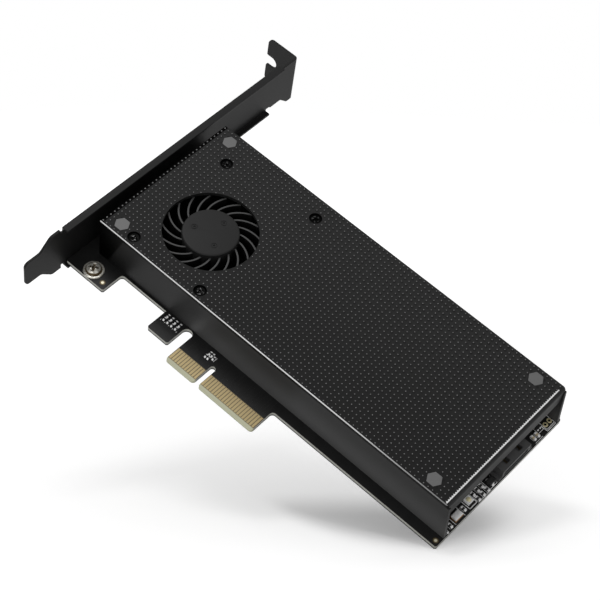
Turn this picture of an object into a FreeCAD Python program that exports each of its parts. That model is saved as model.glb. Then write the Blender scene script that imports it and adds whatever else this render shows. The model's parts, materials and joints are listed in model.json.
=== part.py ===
import FreeCAD, Part
import math
import os
import Sketcher
from FreeCAD import Vector, Placement, Rotation

# A full-height expansion card that carries two M.2 drives under a fan-cooled cover.
# Frame: origin at the centre of the key notch on the edge connector's lower edge, on the
# board's component face. +X runs from the bracket to the tail, +Y from the edge connector
# to the board's upper edge, +Z out of the component face. Millimetres throughout.

doc = FreeCAD.newDocument("expansion_card")
sheet = doc.addObject("Spreadsheet::Sheet", "Sizes")

# Driving dimensions
SIZES = {
    # Printed circuit board, standard edge connector for four lanes
    "board_thickness": 1.57,
    "board_bracket_end": 58.0,
    "board_tail_beyond_post": 14.8,
    "board_lower_edge": 9.4,
    "board_upper_edge": 68.6,
    "board_shelf_edge": 12.3,
    "key_width": 1.9,
    "key_depth": 8.3,
    "short_tongue_reach": 12.15,
    "long_tongue_reach": 22.15,
    "tongue_corner_radius": 1.0,
    "bevel_height": 1.2,
    "bevel_depth": 0.45,
    "relief_slot_width": 3.45,
    "relief_slot_depth": 12.6,
    "hold_tab_width": 8.3,
    "hold_tab_edge": 4.3,
    "ear_edge": 4.0,
    "ear_width": 15.6,
    "board_corner_cut": 0.45,
    "inner_corner_radius": 1.2,
    # Edge contacts
    "contact_pitch": 1.0,
    "contact_first": 1.5,
    "contact_width": 0.72,
    "contact_lower_end": 1.25,
    "contact_upper_end": 5.6,
    "contact_thickness": 0.04,
    "short_tongue_count": 11,
    "long_tongue_count": 21,
    # Folded slot bracket
    "bracket_inner_face": 58.19,
    "bracket_sheet": 0.86,
    "bracket_length": 120.02,
    "bracket_width": 18.42,
    "bracket_foot_end": 12.22,
    "bracket_flange_reach": 2.5,
    "bracket_flange_start": 3.3,
    "bracket_upper_flange_gap": 8.6,
    "bracket_lower_flange_gap": 13.6,
    "bracket_bend_radius": 1.2,
    "tab_reach": 11.43,
    "tab_upper_inset": 1.9,
    "tab_width": 19.05,
    "tab_shoulder": 3.1,
    "neck_rise": 0.9,
    "neck_slope": 3.5,
    "neck_radius": 1.4,
    "flange_relief": 1.3,
    "flange_relief_depth": 1.6,
    "tab_corner_radius": 2.0,
    "tab_slot_width": 4.42,
    "tab_slot_depth": 4.3,
    "tab_slot_from_top": 9.6,
    "tab_slot_mouth_radius": 0.5,
    "foot_width": 10.19,
    "foot_inset": 4.2,
    "foot_shoulder": 10.5,
    "foot_taper": 4.3,
    "foot_tip_radius": 1.6,
    "foot_side_radius": 2.0,
    "bracket_ear_reach": 12.3,
    "bracket_ear_width": 5.8,
    "bracket_ear_radius": 2.6,
    # Screws that hold the bracket to the board
    "bracket_screw_from_end": 8.5,
    "bracket_screw_lower": 7.25,
    "bracket_screw_upper": 54.0,
    "bracket_screw_head_radius": 3.3,
    "bracket_screw_head_height": 1.9,
    "bracket_screw_proud": 0.4,
    # Metric screw threads
    "large_thread_radius": 1.5,
    "small_thread_radius": 1.0,
    "thread_play": 0.05,
    "screw_hole_play": 0.15,
    # Sheet cover
    "cover_bracket_end": 53.0,
    "cover_tail_inset": 2.0,
    "cover_front_face": 13.0,
    "cover_back_face": 67.7,
    "cover_height": 16.2,
    "cover_wall": 1.0,
    "cover_top": 1.2,
    "cover_lip": 6.8,
    "cover_edge_chamfer": 0.35,
    "cover_bend_radius": 1.2,
    "cover_ear_foot": 1.85,
    "cover_ear_top": 0.4,
    "cover_ear_drop": 1.6,
    # Clinched standoffs under the four hexagons
    "standoff_bracket_offset": 5.4,
    "standoff_tail_offset": 8.3,
    "standoff_front_offset": 3.9,
    "standoff_back_offset": 4.1,
    "standoff_hex_flats": 4.3,
    "press_play": 0.02,
    "standoff_bore_depth": 8.0,
    "cover_screw_length": 6.0,
    "cover_screw_head_radius": 2.75,
    "cover_screw_head_height": 1.8,
    # Blower
    "fan_x": -27.6,
    "fan_y": 34.1,
    "fan_opening_radius": 14.66,
    "fan_depth": 8.0,
    "fan_floor": 0.9,
    "fan_wall": 0.9,
    "fan_scroll_radius": 16.0,
    "fan_scroll_growth": 6.5,
    "fan_tongue_angle": 15.0,
    "fan_outlet_end": 8.5,
    "fan_ear_radius": 1.9,
    "fan_ear_height": 3.5,
    "fan_screw_a_x": -14.2,
    "fan_screw_a_y": -18.1,
    "fan_screw_b_x": -14.7,
    "fan_screw_b_y": 22.4,
    "fan_screw_c_x": 18.4,
    "fan_screw_c_y": 26.6,
    "fan_screw_d_x": 12.8,
    "fan_screw_d_y": -18.0,
    "fan_screw_length": 4.0,
    "fan_screw_head_radius": 1.85,
    "fan_screw_sink": 0.15,
    "fan_boss_radius": 3.0,
    "fan_boss_height": 5.2,
    "fan_bearing_radius": 2.0,
    "fan_shaft_radius": 1.0,
    "fan_shaft_play": 0.03,
    # Impeller
    "hub_radius": 8.77,
    "hub_wall": 0.6,
    "hub_sink": 0.2,
    "hub_height": 6.8,
    "blade_count": 19,
    "blade_tip_radius": 15.3,
    "blade_thickness": 0.5,
    "blade_sweep": 30.0,
    "blade_phase": 13.0,
    "blade_top_gap": 0.5,
    "blade_height": 5.2,
    "rotor_cup_wall": 0.4,
    "magnet_thickness": 1.0,
    "rotor_gap": 0.35,
    "rotor_cup_lift": 0.2,
    "magnet_end_gap": 0.3,
    "shaft_end_gap": 0.3,
    "stator_lift": 1.4,
    "stator_top_gap": 0.8,
    "stator_pole_share": 0.9,
    "driver_board_thickness": 0.6,
    "driver_board_play": 0.1,
    # Drive sockets
    "socket_length": 8.7,
    "socket_width": 21.9,
    "socket_height": 4.2,
    "socket_face": -9.4,
    "socket_slot_depth": 6.2,
    "socket_slot_width": 20.1,
    "socket_slot_height": 1.1,
    "socket_slot_floor": 2.0,
    "socket_key_width": 1.2,
    "socket_lip_depth": 0.8,
    "nvme_key_offset": 6.125,
    "sata_key_offset": 5.625,
    "nvme_bay_y": 28.6,
    "sata_bay_y": 52.4,
    "socket_contact_pitch": 0.5,
    "socket_contact_width": 0.22,
    "socket_contact_count": 37,
    "socket_leg_reach": 1.1,
    "socket_leg_height": 0.2,
    "drive_length": 80.0,
    "drive_finger_seat": 1.6,
    "post_radius": 2.1,
    "post_height": 2.4,
    "post_floor": 0.3,
    # Data port at the tail
    "port_length": 6.6,
    "port_width": 16.0,
    "port_height": 4.2,
    "port_tail_gap": 0.3,
    "port_y": 46.2,
    "port_mouth_width": 11.4,
    "port_mouth_height": 2.6,
    "port_mouth_depth": 5.2,
    "port_blade_width": 9.9,
    "port_blade_thickness": 1.1,
    "port_window": 2.0,
    "port_window_spread": 6.0,
    "port_window_inset": 1.1,
    "port_notch_width": 1.4,
    "port_notch_floor": 1.2,
    "port_hook": 0.7,
    "port_contact_pitch": 1.27,
    "port_contact_width": 0.6,
    "port_contact_thickness": 0.06,
    # Small parts at the tail, placed from the port and the cover
    "tail_part_gap": 0.3,
    "crystal_from_front": 8.1,
    "light_from_front": 14.3,
    "diode_from_port": 9.7,
    "regulator_from_port": 14.8,
    "tail_chip_length": 1.6,
    "tail_chip_width": 0.8,
    "tail_chip_height": 0.45,
    # Fan socket on the board
    "fan_header_x": 2.0,
    "fan_header_y": 65.0,
    "fan_header_length": 3.2,
    "fan_header_width": 3.0,
    "fan_header_height": 3.4,
    "fan_header_wall": 0.4,
    "fan_header_floor": 0.8,
    "fan_header_pitch": 1.25,
    "fan_header_pin": 0.4,
}
for row, (name, value) in enumerate(SIZES.items(), start=1):
    sheet.set(f"A{row}", name)
    sheet.set(f"B{row}", str(value))
    sheet.setAlias(f"B{row}", name)
doc.recompute()


class Dim:
    """A length or count that knows its number and the formula that ties it to the sheet."""

    def __init__(self, value, formula):
        self.value = value
        self.formula = formula

    def __add__(self, other):
        other = as_dim(other)
        return Dim(self.value + other.value, f"({self.formula} + {other.formula})")

    def __sub__(self, other):
        other = as_dim(other)
        return Dim(self.value - other.value, f"({self.formula} - {other.formula})")

    def __mul__(self, other):
        other = as_dim(other)
        return Dim(self.value * other.value, f"({self.formula} * {other.formula})")

    def __truediv__(self, other):
        other = as_dim(other)
        return Dim(self.value / other.value, f"({self.formula} / {other.formula})")

    def __neg__(self):
        return Dim(-self.value, f"(0 - {self.formula})")

    __radd__ = __add__
    __rmul__ = __mul__

    def __rsub__(self, other):
        return as_dim(other) - self


def as_dim(number):
    if isinstance(number, Dim):
        return number
    return Dim(float(number), f"({float(number):.6f})")


def size(name):
    return Dim(float(sheet.get(name)), f"Sizes.{name}")


def bind(thing, **settings):
    """Tie properties of an object to the sheet."""
    for name, value in settings.items():
        thing.setExpression(name, as_dim(value).formula)


def put(thing, x=0, y=0, z=0):
    """Tie an object's place to the sheet."""
    for axis, value in zip("xyz", (x, y, z)):
        thing.setExpression(f"Placement.Base.{axis}", as_dim(value).formula)
    return thing


pieces = []


def finished(thing, label):
    """Name a finished sub-part and list it for export."""
    thing.Label = label
    pieces.append(thing)
    return thing


# Sketch and feature helpers
def origin_plane(body, role):
    return next(f for f in body.Origin.OriginFeatures if f.Role == role)


def new_body(label):
    return doc.addObject("PartDesign::Body", label)


def new_sketch(body, name, role, lift=0):
    """A sketch on one of the body's own origin planes, lifted along that plane's normal."""
    sketch = body.newObject("Sketcher::SketchObject", name)
    sketch.AttachmentSupport = [(origin_plane(body, role), "")]
    sketch.MapMode = "FlatFace"
    sketch.setExpression("AttachmentOffset.Base.z", as_dim(lift).formula)
    return sketch


def hold(sketch, curve, end, x, y):
    """Dimension one end of a sketch curve from the sketch's origin."""
    for kind, value in (("DistanceX", as_dim(x)), ("DistanceY", as_dim(y))):
        number = sketch.addConstraint(Sketcher.Constraint(kind, -1, 1, curve, end, value.value))
        sketch.setExpression(f"Constraints[{number}]", value.formula)


def polygon(sketch, corners):
    """A closed straight-sided outline with every corner dimensioned."""
    corners = [(as_dim(x), as_dim(y)) for x, y in corners]
    first = sketch.GeometryCount
    count = len(corners)
    for k in range(count):
        (x0, y0), (x1, y1) = corners[k], corners[(k + 1) % count]
        start = Vector(x0.value, y0.value, 0)
        stop = Vector(x1.value, y1.value, 0)
        sketch.addGeometry(Part.LineSegment(start, stop), False)
    for k in range(count):
        follower = first + (k + 1) % count
        sketch.addConstraint(Sketcher.Constraint("Coincident", first + k, 2, follower, 1))
        hold(sketch, first + k, 1, *corners[k])


def rectangle(sketch, x0, x1, y0, y1):
    polygon(sketch, [(x0, y0), (x1, y0), (x1, y1), (x0, y1)])


def circle(sketch, x, y, radius):
    x, y, radius = as_dim(x), as_dim(y), as_dim(radius)
    curve = sketch.addGeometry(
        Part.Circle(Vector(x.value, y.value, 0), Vector(0, 0, 1), radius.value), False)
    number = sketch.addConstraint(Sketcher.Constraint("Radius", curve, radius.value))
    sketch.setExpression(f"Constraints[{number}]", radius.formula)
    hold(sketch, curve, 3, x, y)


def pad(body, name, sketch, length, back=False):
    feature = body.newObject("PartDesign::Pad", name)
    feature.Profile = (sketch, [""])
    feature.Reversed = back
    bind(feature, Length=length)
    return feature


def pocket(body, name, sketch, length=None, forward=False):
    """Cut a sketch away: a given depth against the sketch's normal, or through everything."""
    feature = body.newObject("PartDesign::Pocket", name)
    feature.Profile = (sketch, [""])
    if length is None:
        feature.Type = "ThroughAll"
        feature.SideType = "Symmetric"
    else:
        feature.Reversed = forward
        bind(feature, Length=length)
    return feature


def edges_along(feature, axis, places):
    """Names of the straight edges along an axis that pass through the given places."""
    doc.recompute()
    across = [k for k in range(3) if k != axis]
    wanted = [tuple(as_dim(c).value for c in place) for place in places]
    names = []
    for number, edge in enumerate(feature.Shape.Edges, start=1):
        if edge.Curve.TypeId != "Part::GeomLine":
            continue
        start, stop = edge.Vertexes[0].Point, edge.Vertexes[-1].Point
        if any(abs(start[k] - stop[k]) > 1e-5 for k in across):
            continue
        spot = [start[k] for k in across]
        if any(math.dist(spot, place) < 1e-3 for place in wanted):
            names.append(f"Edge{number}")
    return names


def dress(body, kind, name, base, amount, axis, places):
    """Fillet or chamfer the edges along an axis at the given places."""
    names = edges_along(base, axis, places)
    feature = body.newObject(f"PartDesign::{kind}", name)
    feature.Base = (base, names)
    bind(feature, **{"Radius" if kind == "Fillet" else "Size": amount})
    return feature


def repeat(body, name, feature, sketch, axis, pitch, count):
    """Copy a feature along one of its sketch's axes."""
    pattern = body.newObject("PartDesign::LinearPattern", name)
    pattern.Originals = [feature]
    pattern.Direction = (sketch, [axis])
    pattern.Mode = "Spacing"
    bind(pattern, Offset=pitch, Occurrences=count)
    body.Tip = pattern
    return pattern


# Part primitive helpers
def box(length, width, height, x, y, z):
    thing = doc.addObject("Part::Box", "block")
    bind(thing, Length=length, Width=width, Height=height)
    return put(thing, x, y, z)


def cylinder(radius, height, x, y, z):
    thing = doc.addObject("Part::Cylinder", "round")
    bind(thing, Radius=radius, Height=height)
    return put(thing, x, y, z)


def fuse(*things):
    joined = doc.addObject("Part::MultiFuse", "joined")
    joined.Shapes = list(things)
    return joined


def cut(base, *tools):
    result = doc.addObject("Part::Cut", "cut")
    result.Base = base
    result.Tool = tools[0] if len(tools) == 1 else fuse(*tools)
    return result


def group(*things):
    """Separate solids that share one node."""
    result = doc.addObject("Part::Compound", "group")
    result.Links = list(things)
    return result


# Places that several pieces share
board_under = -size("board_thickness")
half_key = size("key_width") / 2
fan_x = size("fan_x")
fan_y = size("fan_y")
cover_under = size("cover_height") - size("cover_top")
standoff_x_bracket = size("standoff_bracket_offset") - size("cover_bracket_end")
post_x = size("socket_face") - size("drive_finger_seat") + size("drive_length")
board_tail = post_x + size("board_tail_beyond_post")
cover_tail = board_tail - size("cover_tail_inset")
fan_bottom = cover_under - size("fan_depth")
standoff_x_tail = cover_tail - size("standoff_tail_offset")
standoff_y_front = size("cover_front_face") + size("standoff_front_offset")
standoff_y_back = size("cover_back_face") - size("standoff_back_offset")
standoffs = [(x, y) for x in (standoff_x_bracket, standoff_x_tail)
             for y in (standoff_y_front, standoff_y_back)]
bracket_screw_x = size("bracket_screw_from_end") - size("board_bracket_end")
bracket_screws = {"lower": size("bracket_screw_lower"), "upper": size("bracket_screw_upper")}
fan_screws = [(fan_x + size(f"fan_screw_{letter}_x"), fan_y + size(f"fan_screw_{letter}_y"))
              for letter in "abcd"]
screw_head_taper = 0.82
large_hole = size("large_thread_radius") + size("screw_hole_play")
small_hole = size("small_thread_radius") + size("screw_hole_play")


# Circuit board: one routed outline with the key notch, the relief slot and a bevelled
# lower edge, and its drilled holes
def make_board():
    body = new_body("circuit_board")
    left = -size("board_bracket_end")
    ear_right = left + size("ear_width")
    tongue_left = -size("short_tongue_reach")
    hold_right = tongue_left - size("relief_slot_width")
    hold_left = hold_right - size("hold_tab_width")
    tongue_right = size("long_tongue_reach")
    lower, shelf = size("board_lower_edge"), size("board_shelf_edge")
    ear, hold_edge = size("ear_edge"), size("hold_tab_edge")
    relief, key = size("relief_slot_depth"), size("key_depth")
    right, upper = board_tail, size("board_upper_edge")
    sketch = new_sketch(body, "board_outline", "XY_Plane")
    polygon(sketch, [
        (left, ear), (ear_right, ear), (ear_right, shelf), (hold_left, shelf),
        (hold_left, hold_edge), (hold_right, hold_edge), (hold_right, relief),
        (tongue_left, relief), (tongue_left, 0), (-half_key, 0), (-half_key, key),
        (half_key, key), (half_key, 0), (tongue_right, 0), (tongue_right, lower),
        (right, lower), (right, upper), (left, upper)])
    slab = pad(body, "board_slab", sketch, size("board_thickness"), back=True)
    rounded = dress(body, "Fillet", "key_end", slab, half_key * 0.98, 2,
                    [(-half_key, key), (half_key, key)])
    rounded = dress(body, "Fillet", "relief_end", rounded, size("relief_slot_width") * 0.49, 2,
                    [(hold_right, relief), (tongue_left, relief)])
    rounded = dress(body, "Fillet", "tongue_corners", rounded, size("tongue_corner_radius"), 2,
                    [(x, 0) for x in (tongue_left, -half_key, half_key, tongue_right)])
    rounded = dress(body, "Fillet", "inner_corner", rounded, size("inner_corner_radius"), 2,
                    [(tongue_right, lower), (ear_right, shelf)])
    rounded = dress(body, "Chamfer", "outer_corners", rounded, size("board_corner_cut"), 2,
                    [(left, ear), (ear_right, ear), (hold_left, hold_edge),
                     (hold_right, hold_edge), (right, lower), (right, upper), (left, upper)])
    bevel = new_sketch(body, "bevel_profile", "YZ_Plane")
    rise, depth = size("bevel_height"), size("bevel_depth")
    polygon(bevel, [(0, -depth), (rise, 0), (0, 0)])
    polygon(bevel, [(0, board_under), (rise, board_under), (0, board_under + depth)])
    pocket(body, "bevel", bevel)
    holes = new_sketch(body, "screw_holes", "XY_Plane")
    for x, y in standoffs:
        circle(holes, x, y, large_hole)
    for y in bracket_screws.values():
        circle(holes, bracket_screw_x, y, large_hole)
    pocket(body, "drilling", holes)
    finished(body, "circuit_board")


# Edge contacts: plated fingers at the standard pitch, the same on both faces
def make_contacts(label, lift, back):
    body = new_body(label)
    body.AllowCompound = True
    pitch, width = size("contact_pitch"), size("contact_width")
    low, high = size("contact_lower_end"), size("contact_upper_end")
    first = size("contact_first")
    long_count, short_count = size("long_tongue_count"), size("short_tongue_count")
    for name, start, count in (
            ("long", first - width / 2, long_count),
            ("short", -first - width / 2 - pitch * (short_count - 1), short_count)):
        sketch = new_sketch(body, f"{name}_finger", "XY_Plane", lift)
        rectangle(sketch, start, start + width, low, high)
        finger = pad(body, f"{name}_plating", sketch, size("contact_thickness"), back=back)
        repeat(body, f"{name}_row", finger, sketch, "H_Axis", pitch, count)
    finished(body, label)


# Slot bracket: one folded sheet with a foot, two flanges, two board ears and a screw tab
def make_bracket():
    body = new_body("slot_bracket")
    sheet_t = size("bracket_sheet")
    inner = -size("bracket_inner_face")
    outer = inner - sheet_t
    low_z = board_under - sheet_t
    high_z = low_z + size("bracket_width")
    tip = -size("bracket_foot_end")
    top = tip + size("bracket_length")
    tab_high = high_z - size("tab_upper_inset")
    tab_low = tab_high - size("tab_width")
    foot_low = low_z + size("foot_inset")
    foot_high = foot_low + size("foot_width")
    shoulder = tip + size("foot_shoulder")
    taper = shoulder - size("foot_taper")
    flange_start = size("bracket_flange_start")
    upper_end = top - size("bracket_upper_flange_gap")
    lower_end = top - size("bracket_lower_flange_gap")
    brow = top - size("tab_shoulder")
    neck = brow - size("neck_slope")
    neck_z = low_z + size("neck_rise")
    relief, relief_depth = size("flange_relief"), size("flange_relief_depth")
    plate = new_sketch(body, "plate_outline", "YZ_Plane", outer)
    polygon(plate, [
        (tip, foot_low), (taper, foot_low), (shoulder, low_z), (flange_start - relief, low_z),
        (flange_start - relief, low_z + relief_depth), (flange_start, low_z + relief_depth),
        (flange_start, low_z), (lower_end, low_z), (lower_end, low_z + relief_depth),
        (lower_end + relief, low_z + relief_depth), (lower_end + relief * 1.6, neck_z),
        (neck, neck_z), (brow, tab_low), (top, tab_low), (top, tab_high),
        (upper_end + relief, tab_high), (upper_end + relief, high_z - relief_depth),
        (upper_end, high_z - relief_depth), (upper_end, high_z), (flange_start, high_z),
        (flange_start, high_z - relief_depth), (flange_start - relief, high_z - relief_depth),
        (flange_start - relief, high_z), (shoulder, high_z), (taper, foot_high),
        (tip, foot_high)])
    solid = pad(body, "plate", plate, sheet_t)
    for name, start, stop, z in (("upper", flange_start, upper_end, high_z - sheet_t),
                                 ("lower", flange_start, lower_end, low_z)):
        flange = new_sketch(body, f"{name}_flange_section", "YZ_Plane", outer)
        rectangle(flange, start, stop, z, z + sheet_t)
        solid = pad(body, f"{name}_flange", flange, size("bracket_flange_reach"))
    ear_end = outer + size("bracket_ear_reach")
    half_ear = size("bracket_ear_width") / 2
    for name, y in bracket_screws.items():
        ear = new_sketch(body, f"{name}_ear_section", "YZ_Plane", outer)
        rectangle(ear, y - half_ear, y + half_ear, low_z, low_z + sheet_t)
        solid = pad(body, f"{name}_ear", ear, size("bracket_ear_reach"))
    tab = new_sketch(body, "tab_section", "YZ_Plane", inner)
    rectangle(tab, top - sheet_t, top, tab_low, tab_high)
    solid = pad(body, "screw_tab", tab, size("tab_reach") + sheet_t, back=True)
    tab_end = outer - size("tab_reach")
    slot = new_sketch(body, "tab_slot_outline", "XZ_Plane")
    slot_mid = tab_high - size("tab_slot_from_top")
    half_slot = size("tab_slot_width") / 2
    slot_end = tab_end + size("tab_slot_depth")
    rectangle(slot, tab_end - 1, slot_end, slot_mid - half_slot, slot_mid + half_slot)
    solid = pocket(body, "tab_slot", slot)
    corners = [(slot_end, slot_mid - half_slot), (slot_end, slot_mid + half_slot)]
    solid = dress(body, "Fillet", "slot_end", solid, half_slot * 0.98, 1, corners)
    mouth = [(tab_end, slot_mid - half_slot), (tab_end, slot_mid + half_slot)]
    solid = dress(body, "Fillet", "slot_mouth", solid, size("tab_slot_mouth_radius"), 1, mouth)
    solid = dress(body, "Fillet", "tab_corners", solid, size("tab_corner_radius"), 1,
                  [(tab_end, tab_low), (tab_end, tab_high)])
    solid = dress(body, "Fillet", "ear_corners", solid, size("bracket_ear_radius"), 2,
                  [(ear_end, y + side * half_ear) for y in bracket_screws.values()
                   for side in (-1, 1)])
    solid = dress(body, "Fillet", "foot_tip", solid, size("foot_tip_radius"), 0,
                  [(tip, foot_low), (tip, foot_high)])
    solid = dress(body, "Fillet", "foot_sides", solid, size("foot_side_radius"), 0,
                  [(taper, foot_low), (taper, foot_high), (shoulder, low_z),
                   (shoulder, high_z)])
    solid = dress(body, "Fillet", "neck_sides", solid, size("neck_radius"), 0,
                  [(brow, tab_low), (neck, neck_z)])
    bend = size("bracket_bend_radius")
    solid = dress(body, "Fillet", "tab_bend", solid, bend, 2, [(inner, top)])
    solid = dress(body, "Fillet", "tab_inner_bend", solid, bend - sheet_t, 2,
                  [(outer, top - sheet_t)])
    holes = new_sketch(body, "ear_holes", "XY_Plane")
    for y in bracket_screws.values():
        circle(holes, bracket_screw_x, y, size("large_thread_radius"))
    pocket(body, "ear_threads", holes)
    finished(body, "slot_bracket")


# Screws: a tapered head on a plain shank with few sides
def shank(radius, length, x, y, z):
    """A twelve-sided shank that fits inside a circle of the given radius."""
    thing = doc.addObject("Part::Prism", "shank")
    thing.Polygon = 12
    bind(thing, Circumradius=radius, Height=length)
    return put(thing, x, y, z)


def head(lower_radius, upper_radius, height, x, y, z):
    thing = doc.addObject("Part::Cone", "head")
    bind(thing, Radius1=lower_radius, Radius2=upper_radius, Height=height)
    return put(thing, x, y, z)


def make_bracket_screws():
    wide, height = size("bracket_screw_head_radius"), size("bracket_screw_head_height")
    thread = size("large_thread_radius") - size("thread_play")
    length = size("board_thickness") + size("bracket_sheet") + size("bracket_screw_proud")
    for name, y in bracket_screws.items():
        finished(fuse(head(wide, wide * screw_head_taper, height, bracket_screw_x, y, 0),
                      shank(thread, length, bracket_screw_x, y, -length)),
                 f"bracket_screw_{name}")


def make_cover_screws():
    wide, height = size("cover_screw_head_radius"), size("cover_screw_head_height")
    thread = size("large_thread_radius") - size("thread_play")
    length = size("cover_screw_length")
    for number, (x, y) in enumerate(standoffs, start=1):
        finished(fuse(head(wide * screw_head_taper, wide, height, x, y, board_under - height),
                      shank(thread, length, x, y, board_under)),
                 f"cover_screw_{number}")


def make_fan_screws():
    wide = size("fan_screw_head_radius")
    thread = size("small_thread_radius") - size("thread_play")
    length = size("fan_screw_length")
    cone = wide - size("small_thread_radius")
    top = size("cover_height") - size("fan_screw_sink")
    for number, (x, y) in enumerate(fan_screws, start=1):
        finished(fuse(head(thread, wide, cone, x, y, top - cone),
                      shank(thread, length - cone, x, y, top - length)),
                 f"fan_screw_{number}")


# Cover: a folded channel with a lip at the tail, side walls that lean out to the board's tail,
# the fan opening, four clinched hexagons and four countersunk holes
def make_cover():
    body = new_body("cover")
    x0, x1 = -size("cover_bracket_end"), cover_tail
    y0, y1 = size("cover_front_face"), size("cover_back_face")
    height, wall = size("cover_height"), size("cover_wall")
    block_outline = new_sketch(body, "cover_outline", "XY_Plane")
    rectangle(block_outline, x0, x1, y0, y1)
    solid = pad(body, "cover_block", block_outline, height)
    bend = size("cover_bend_radius")
    solid = dress(body, "Fillet", "tail_bend", solid, bend, 1, [(x1, height)])
    hollow = new_sketch(body, "hollow_outline", "XY_Plane")
    rectangle(hollow, x0 - 1, x1 - wall, y0 + wall, y1 - wall)
    solid = pocket(body, "hollow", hollow, cover_under, forward=True)
    solid = dress(body, "Fillet", "tail_inner_bend", solid, bend - wall, 1,
                  [(x1 - wall, cover_under)])
    window = new_sketch(body, "tail_window_outline", "YZ_Plane", x1 - wall * 2)
    rectangle(window, y0 + wall, y1 - wall, -1, height - size("cover_lip"))
    solid = pocket(body, "tail_window", window, wall * 3, forward=True)
    for end, face in (("front", y0 + wall), ("back", y1)):
        ear = new_sketch(body, f"{end}_ear_outline", "XZ_Plane", -face)
        ear_top = height - size("cover_ear_drop")
        polygon(ear, [(x1 - wall, 0), (x1 + size("cover_ear_foot"), 0),
                      (x1 + size("cover_ear_top"), ear_top), (x1 - wall, ear_top)])
        solid = pad(body, f"{end}_ear", ear, wall)
    holes = new_sketch(body, "top_holes", "XY_Plane")
    circle(holes, fan_x, fan_y, size("fan_opening_radius"))
    corner = size("standoff_hex_flats") / math.sqrt(3)
    for x, y in standoffs:
        polygon(holes, [(x + corner * math.cos(math.radians(60 * k)),
                         y + corner * math.sin(math.radians(60 * k))) for k in range(6)])
    solid = pocket(body, "top_openings", holes)
    sinks = new_sketch(body, "countersinks", "XY_Plane")
    for x, y in fan_screws:
        circle(sinks, x, y, small_hole)
    solid = pocket(body, "screw_holes", sinks)
    doc.recompute()
    circles = {f"Edge{number}": edge.Curve
               for number, edge in enumerate(solid.Shape.Edges, start=1)
               if edge.Curve.TypeId == "Part::GeomCircle"}
    rims = [name for name, curve in circles.items()
            if abs(curve.Radius - small_hole.value) < 1e-4
            and abs(curve.Center.z - height.value) < 1e-4]
    sink = body.newObject("PartDesign::Chamfer", "countersink")
    sink.Base = (solid, rims)
    bind(sink, Size=size("fan_screw_head_radius") - small_hole + size("fan_screw_sink"))
    solid = dress(body, "Chamfer", "bright_edges", sink, size("cover_edge_chamfer"), 0,
                  [(y0, height), (y1, height)])
    finished(body, "cover")


# Standoffs: hexagonal pillars pressed into the cover, flush with its top, tapped from below
def make_standoffs():
    for number, (x, y) in enumerate(standoffs, start=1):
        pillar = doc.addObject("Part::Prism", "hexagon")
        pillar.Polygon = 6
        bind(pillar, Circumradius=size("standoff_hex_flats") / math.sqrt(3) - size("press_play"),
             Height=size("cover_height"))
        put(pillar, x, y, 0)
        bore = cylinder(size("large_thread_radius"), size("standoff_bore_depth"), x, y, 0)
        finished(cut(pillar, bore), f"cover_standoff_{number}")


# Blower housing: a moulded scroll with a floor, an outlet towards the drives, four screw
# ears and the boss that holds the bearing
def scroll_face(inset):
    """The scroll's plan at its floor, moved inwards by the given amount."""
    centre = Vector(fan_x.value, fan_y.value, fan_bottom.value)
    start_angle = size("fan_tongue_angle").value
    turn = 270.0 + start_angle
    base, growth = size("fan_scroll_radius").value, size("fan_scroll_growth").value
    wall = size("fan_wall").value

    def spiral(share):
        radius = base + wall + growth * share - inset
        angle = math.radians(start_angle - turn * share)
        return centre + Vector(radius * math.cos(angle), radius * math.sin(angle), 0)

    stops = [spiral(k / 12) for k in range(13)]
    edges = [Part.Arc(*stops[k:k + 3]).toShape() for k in range(0, 12, 2)]
    end_x = -size("fan_outlet_end").value
    if inset > 0:
        end_x += wall
    first, last = spiral(0), spiral(1)
    corners = [last, Vector(end_x, last.y, last.z), Vector(end_x, first.y, first.z), first]
    edges += [Part.makeLine(a, b) for a, b in zip(corners, corners[1:])]
    return Part.Face(Part.Wire(Part.__sortEdges__(edges)))


def make_fan_housing():
    floor, wall = size("fan_floor").value, size("fan_wall").value
    bottom, top = fan_bottom.value, cover_under.value
    outer = scroll_face(0).extrude(Vector(0, 0, top - bottom))
    inner = scroll_face(wall).extrude(Vector(0, 0, top - bottom))
    inner.translate(Vector(0, 0, floor))
    shape = outer.cut(inner)
    ear_bottom = top - size("fan_ear_height").value
    centre = Vector(fan_x.value, fan_y.value, 0)
    ear_radius = size("fan_ear_radius").value
    for x, y in fan_screws:
        place = Vector(x.value, y.value, ear_bottom)
        inward = centre - Vector(x.value, y.value, 0)
        ear = Part.makeCylinder(ear_radius, top - ear_bottom, place)
        web = Part.makeBox(inward.Length, ear_radius * 2, top - ear_bottom,
                           Vector(0, -ear_radius, 0))
        heading = math.degrees(math.atan2(inward.y, inward.x))
        web.Placement = Placement(place, Rotation(Vector(0, 0, 1), heading))
        shape = shape.fuse(ear.fuse(web).cut(inner))
        tip = Part.makeCylinder(size("small_thread_radius").value, top - ear_bottom, place)
        shape = shape.cut(tip)
    boss_bottom = Vector(centre.x, centre.y, bottom)
    boss = Part.makeCylinder(size("fan_boss_radius").value,
                             floor + size("fan_boss_height").value, boss_bottom)
    seat = Part.makeCylinder(size("fan_bearing_radius").value,
                             size("fan_boss_height").value, boss_bottom + Vector(0, 0, floor))
    shape = shape.fuse(boss).cut(seat).removeSplitter()
    thing = doc.addObject("Part::Feature", "fan_housing")
    thing.Shape = shape
    finished(thing, "fan_housing")


# Motor pieces inside the hub
hub_top = size("cover_height") - size("hub_sink")
hub_bottom = hub_top - size("hub_height")
floor_top = fan_bottom + size("fan_floor")
bearing_top = floor_top + size("fan_boss_height")


def ring(outer, inner, height, z):
    """A plain ring about the fan's axis."""
    return cut(cylinder(outer, height, fan_x, fan_y, z),
               cylinder(inner, height, fan_x, fan_y, z))


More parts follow.
